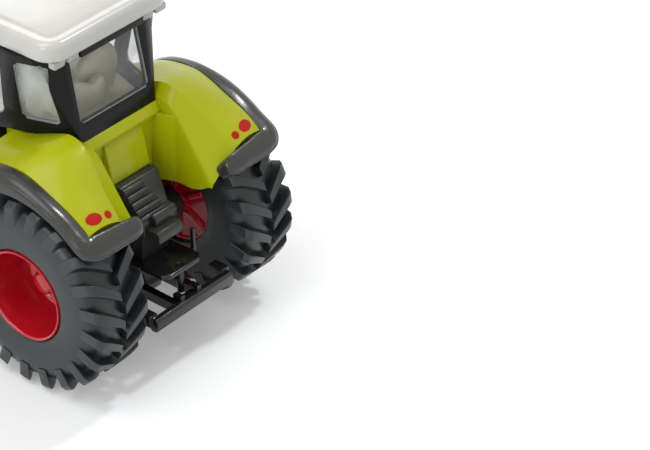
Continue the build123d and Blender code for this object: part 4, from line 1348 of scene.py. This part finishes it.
# Name, place, target, width in metres and power of each lamp
LAMPS = (
    ("key_light", (0.3, -0.1, 0.78), (0, 0.02, 0.03), 0.6, 2.25),
    ("window_light", (0.85, 0.1, 0.35), (0, 0.02, 0.03), 0.4, 1.8),
    ("back_light", (-0.5, -0.6, 0.6), (0, 0.0, 0.03), 0.4, 1.0),
    ("edge_light", (-0.42, 0.14, 0.75), (0, 0.03, 0.03), 0.09, 1.9),
)
FLOOR_SIZE = 6
# The camera's place, its lens and sensor in mm, and its axes: right, up and back
CAMERA_PLACE = (0.3037, 0.3350, 0.3005)
CAMERA_LENS = 158.7
CAMERA_SENSOR = 36
CAMERA_AXES = (
    (-0.6373, 0.7706, -0.0123),
    (-0.4296, -0.3419, 0.8358),
    (0.6398, 0.5379, 0.5489),
)


class TRACTOR_OT_stage(bpy.types.Operator):
    """Floor, soft studio lights and camera"""

    bl_idname = "tractor.stage"
    bl_label = "Stage"

    def execute(self, context):
        scene = context.scene
        clear_selection()
        bpy.ops.mesh.primitive_plane_add(size=FLOOR_SIZE, location=(0, 0, 0))
        floor = added("floor")
        recoat(floor.data, floor_white("floor_white", colours().floor))
        scene.world = white_sky("studio")
        for lamp in LAMPS:
            self.lamp(*lamp)
        data = bpy.data.cameras.new("camera")
        data.lens = CAMERA_LENS
        data.sensor_width = CAMERA_SENSOR
        camera = bpy.data.objects.new("camera", data)
        scene.collection.objects.link(camera)
        turn = Matrix(CAMERA_AXES).transposed().to_4x4()
        camera.matrix_world = Matrix.Translation(CAMERA_PLACE) @ turn
        scene.camera = camera
        scene.view_settings.view_transform = "Standard"
        return {"FINISHED"}

    def lamp(self, name, place, target, size, power):
        data = bpy.data.lights.new(name, "AREA")
        data.shape = "DISK"
        data.size = size
        data.energy = power
        lamp = bpy.data.objects.new(name, data)
        bpy.context.scene.collection.objects.link(lamp)
        lamp.location = place
        aim = Vector(target) - Vector(place)
        lamp.rotation_euler = aim.to_track_quat("-Z", "Y").to_euler()


class TRACTOR_OT_tyres(bpy.types.Operator):
    """Rear and front tyres with two rows of swept bars"""

    bl_idname = "tractor.tyres"
    bl_label = "Tyres"

    def execute(self, context):
        tyres = (("rear", REAR_TYRE, REAR_AXLE), ("front", FRONT_TYRE, FRONT_AXLE))
        for end, shape, axle in tyres:
            rubber = tyre_rubber(f"{end}_rubber", colours().tyre, shape, axle)
            left = tyre(f"left_{end}_tread", shape, axle)
            finish_pair(left, rubber, f"{end}_tyre", f"{end}_wheelset")
        return {"FINISHED"}


class TRACTOR_OT_rims(bpy.types.Operator):
    """Deep-dished rims with nuts and ribs, and the axles between them"""

    bl_idname = "tractor.rims"
    bl_label = "Rims and axles"

    def execute(self, context):
        red = moulded_plastic("wheel_red", colours().wheel, 0.16, grain=0.005, coat=0.5)
        steel = steel_wire("axle_steel", colours().steel)
        rims = (("rear", REAR_RIM, REAR_AXLE), ("front", FRONT_RIM, FRONT_AXLE))
        for end, shape, axle in rims:
            left = rim(f"left_{end}_dish", shape, axle)
            finish_pair(left, red, f"{end}_rim", f"{end}_wheelset")
            recoat(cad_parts[f"{end}_axle"].data, steel)
        return {"FINISHED"}


class TRACTOR_OT_body(bpy.types.Operator):
    """Painted castings: fenders with the wall behind the cab, and the bonnet"""

    bl_idname = "tractor.body"
    bl_label = "Body and bonnet"

    def execute(self, context):
        paint = glossy_paint("lime_paint", colours().body)
        red = moulded_plastic("tail_light_red", colours().tail_light, 0.45, grain=0, sheen=0.2)
        left = fender("left_fender")
        right = other_side(left)
        for light in [tail_light(left, *entry) for entry in TAIL_LIGHTS]:
            finish_pair(light, red)
        piece = joined([*body_core(), left, right], "fender_casting")
        finish_piece(piece, paint, "rear_body")
        edge = sizes().casting_edge
        stands_for("bonnet", paint, edge, name="bonnet_casting")
        return {"FINISHED"}


class TRACTOR_OT_trims(bpy.types.Operator):
    """Dark edge round each fender, which ends in a thick band behind the tyre"""

    bl_idname = "tractor.trims"
    bl_label = "Fender trims"

    def execute(self, context):
        grey = moulded_plastic("trim_plastic", colours().trim, 0.22, coat=0.2, sheen=0.35)
        finish_pair(fender_trim("left_trim_band"), grey, "fender_trim")
        return {"FINISHED"}


class TRACTOR_OT_cab(bpy.types.Operator):
    """Cab frame, windows, seats and steering wheel"""

    bl_idname = "tractor.cab"
    bl_label = "Cab"

    def execute(self, context):
        colour = colours()
        charcoal = moulded_plastic(
            "cab_charcoal", colour.cab, 0.24, grain=0.008, coat=0.05, sheen=0.12
        )
        glass = clear_plastic("window_clear", colour.glass)
        # Pale grey of the window strips: a painted highlight on the clear insert's edges
        pale = moulded_plastic("window_edge", tint(colour.glass, 0.3), 0.15, grain=0, coat=0.3)
        beige = moulded_plastic("seat_beige", colour.seat, 0.45, grain=0.014)
        black = moulded_plastic("fitting_black", colour.hitch, 0.3, coat=0.2)
        edge = sizes().plastic_edge
        stands_for("cab_frame", charcoal, edge, reshape=open_windows)
        stands_for("cab_glazing", glass, 0.05 * MM, 2, reshape=open_windows)
        quarter = glint_strip(
            "left_quarter_seal", QUARTER_WINDOW, quarter_pane, (0.92, 0.3, -0.22)
        )
        rear = glint_strip("rear_seal", REAR_WINDOW, rear_pane, (0, 0.98, 0.18))
        finish_pair(quarter, pale)
        finish_piece(rear, pale)
        stands_for("cab_interior", beige, 0.3 * MM, 4)
        for who, shape in (("driver", DRIVER_SEAT), ("passenger", PASSENGER_SEAT)):
            piece = seat(f"{who}_seat_moulded", **shape)
            finish_piece(piece, beige, f"{who}_seat")
        stands_for("steering_column", black, 0.08 * MM, 2)
        return {"FINISHED"}


class TRACTOR_OT_roof(bpy.types.Operator):
    """Roof shell and the lamps under its corners"""

    bl_idname = "tractor.roof"
    bl_label = "Roof and work lights"

    def execute(self, context):
        cream = moulded_plastic("roof_cream", colours().roof, 0.22, grain=0.006, coat=0.35)
        finish_piece(roof_shell(), cream, "roof")
        lens = lamp_lens("lamp_lens", colours().lamp)
        for side in SIDES:
            for place in ("rear_outer", "rear_inner", "front_outer", "front_inner"):
                stands_for(f"{side}_{place}_work_light", lens, 0.6 * MM, 5)
            stands_for(f"{side}_headlight", lens, 0.2 * MM)
        return {"FINISHED"}


class TRACTOR_OT_running_gear(bpy.types.Operator):
    """Chassis casting, gearbox housing and the coupling with its link"""

    bl_idname = "tractor.running_gear"
    bl_label = "Chassis and coupling"

    def execute(self, context):
        casting = glossy_paint("chassis_grey", colours().chassis, 0.3, sheen=0.35, coat=0.1)
        black = moulded_plastic(
            "coupling_black", colours().hitch, 0.2, grain=0.008, coat=0.25, sheen=0.35
        )
        steel = steel_wire("pivot_steel", colours().steel)
        edge = sizes().plastic_edge
        stands_for("chassis", casting, 0.25 * MM)
        housing = ribbed_housing("ribbed_housing")
        finish_piece(housing, casting, "transmission_housing")
        stands_for("coupling_plate", black, 0.25 * MM)
        stands_for("coupling_pin", black, 0.12 * MM)
        stands_for("lower_link", black, edge, body="lower_link")
        recoat(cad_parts["link_pivot_pin"].data, steel)
        return {"FINISHED"}


class TRACTOR_OT_fittings(bpy.types.Operator):
    """Grille, exhaust, mirrors, tanks, steps and front coupling"""

    bl_idname = "tractor.fittings"
    bl_label = "Front and side fittings"

    def execute(self, context):
        black = moulded_plastic("side_black", colours().hitch, 0.28, coat=0.2)
        grey = moulded_plastic("tank_grey", colours().trim, 0.36, grain=0.014)
        for node in ("front_grille", "front_coupling", "exhaust_stack"):
            stands_for(node, black, 0.15 * MM)
        for side in SIDES:
            stands_for(f"{side}_mirror", black, 0.2 * MM)
            stands_for(f"{side}_steps", black, 0.12 * MM, reshape=squared)
            stands_for(f"{side}_fuel_tank", grey, 0.4 * MM, 4)
        return {"FINISHED"}


class TRACTOR_PT_panel(bpy.types.Panel):
    """Steps of the build, in order, with the colours and sizes they use"""

    bl_idname = "TRACTOR_PT_panel"
    bl_label = "Toy tractor"
    bl_space_type = "VIEW_3D"
    bl_region_type = "UI"
    bl_category = "Tractor"

    def draw(self, context):
        for operator in OPERATORS:
            self.layout.operator(operator.bl_idname)
        for group in (colours(), sizes()):
            for key in group.__annotations__:
                self.layout.prop(group, key)


OPERATORS = (
    TRACTOR_OT_stage,
    TRACTOR_OT_tyres,
    TRACTOR_OT_rims,
    TRACTOR_OT_running_gear,
    TRACTOR_OT_body,
    TRACTOR_OT_trims,
    TRACTOR_OT_cab,
    TRACTOR_OT_roof,
    TRACTOR_OT_fittings,
)
CLASSES = (TractorColours, TractorSizes, *OPERATORS, TRACTOR_PT_panel)


def register():
    for item in CLASSES:
        bpy.utils.register_class(item)
    bpy.types.Scene.tractor_colours = bpy.props.PointerProperty(type=TractorColours)
    bpy.types.Scene.tractor_sizes = bpy.props.PointerProperty(type=TractorSizes)


def unregister():
    del bpy.types.Scene.tractor_sizes
    del bpy.types.Scene.tractor_colours
    for item in reversed(CLASSES):
        bpy.utils.unregister_class(item)


def main():
    register()
    for operator in OPERATORS:
        group, name = operator.bl_idname.split(".")
        getattr(getattr(bpy.ops, group), name)()


if __name__ == "__main__":
    main()
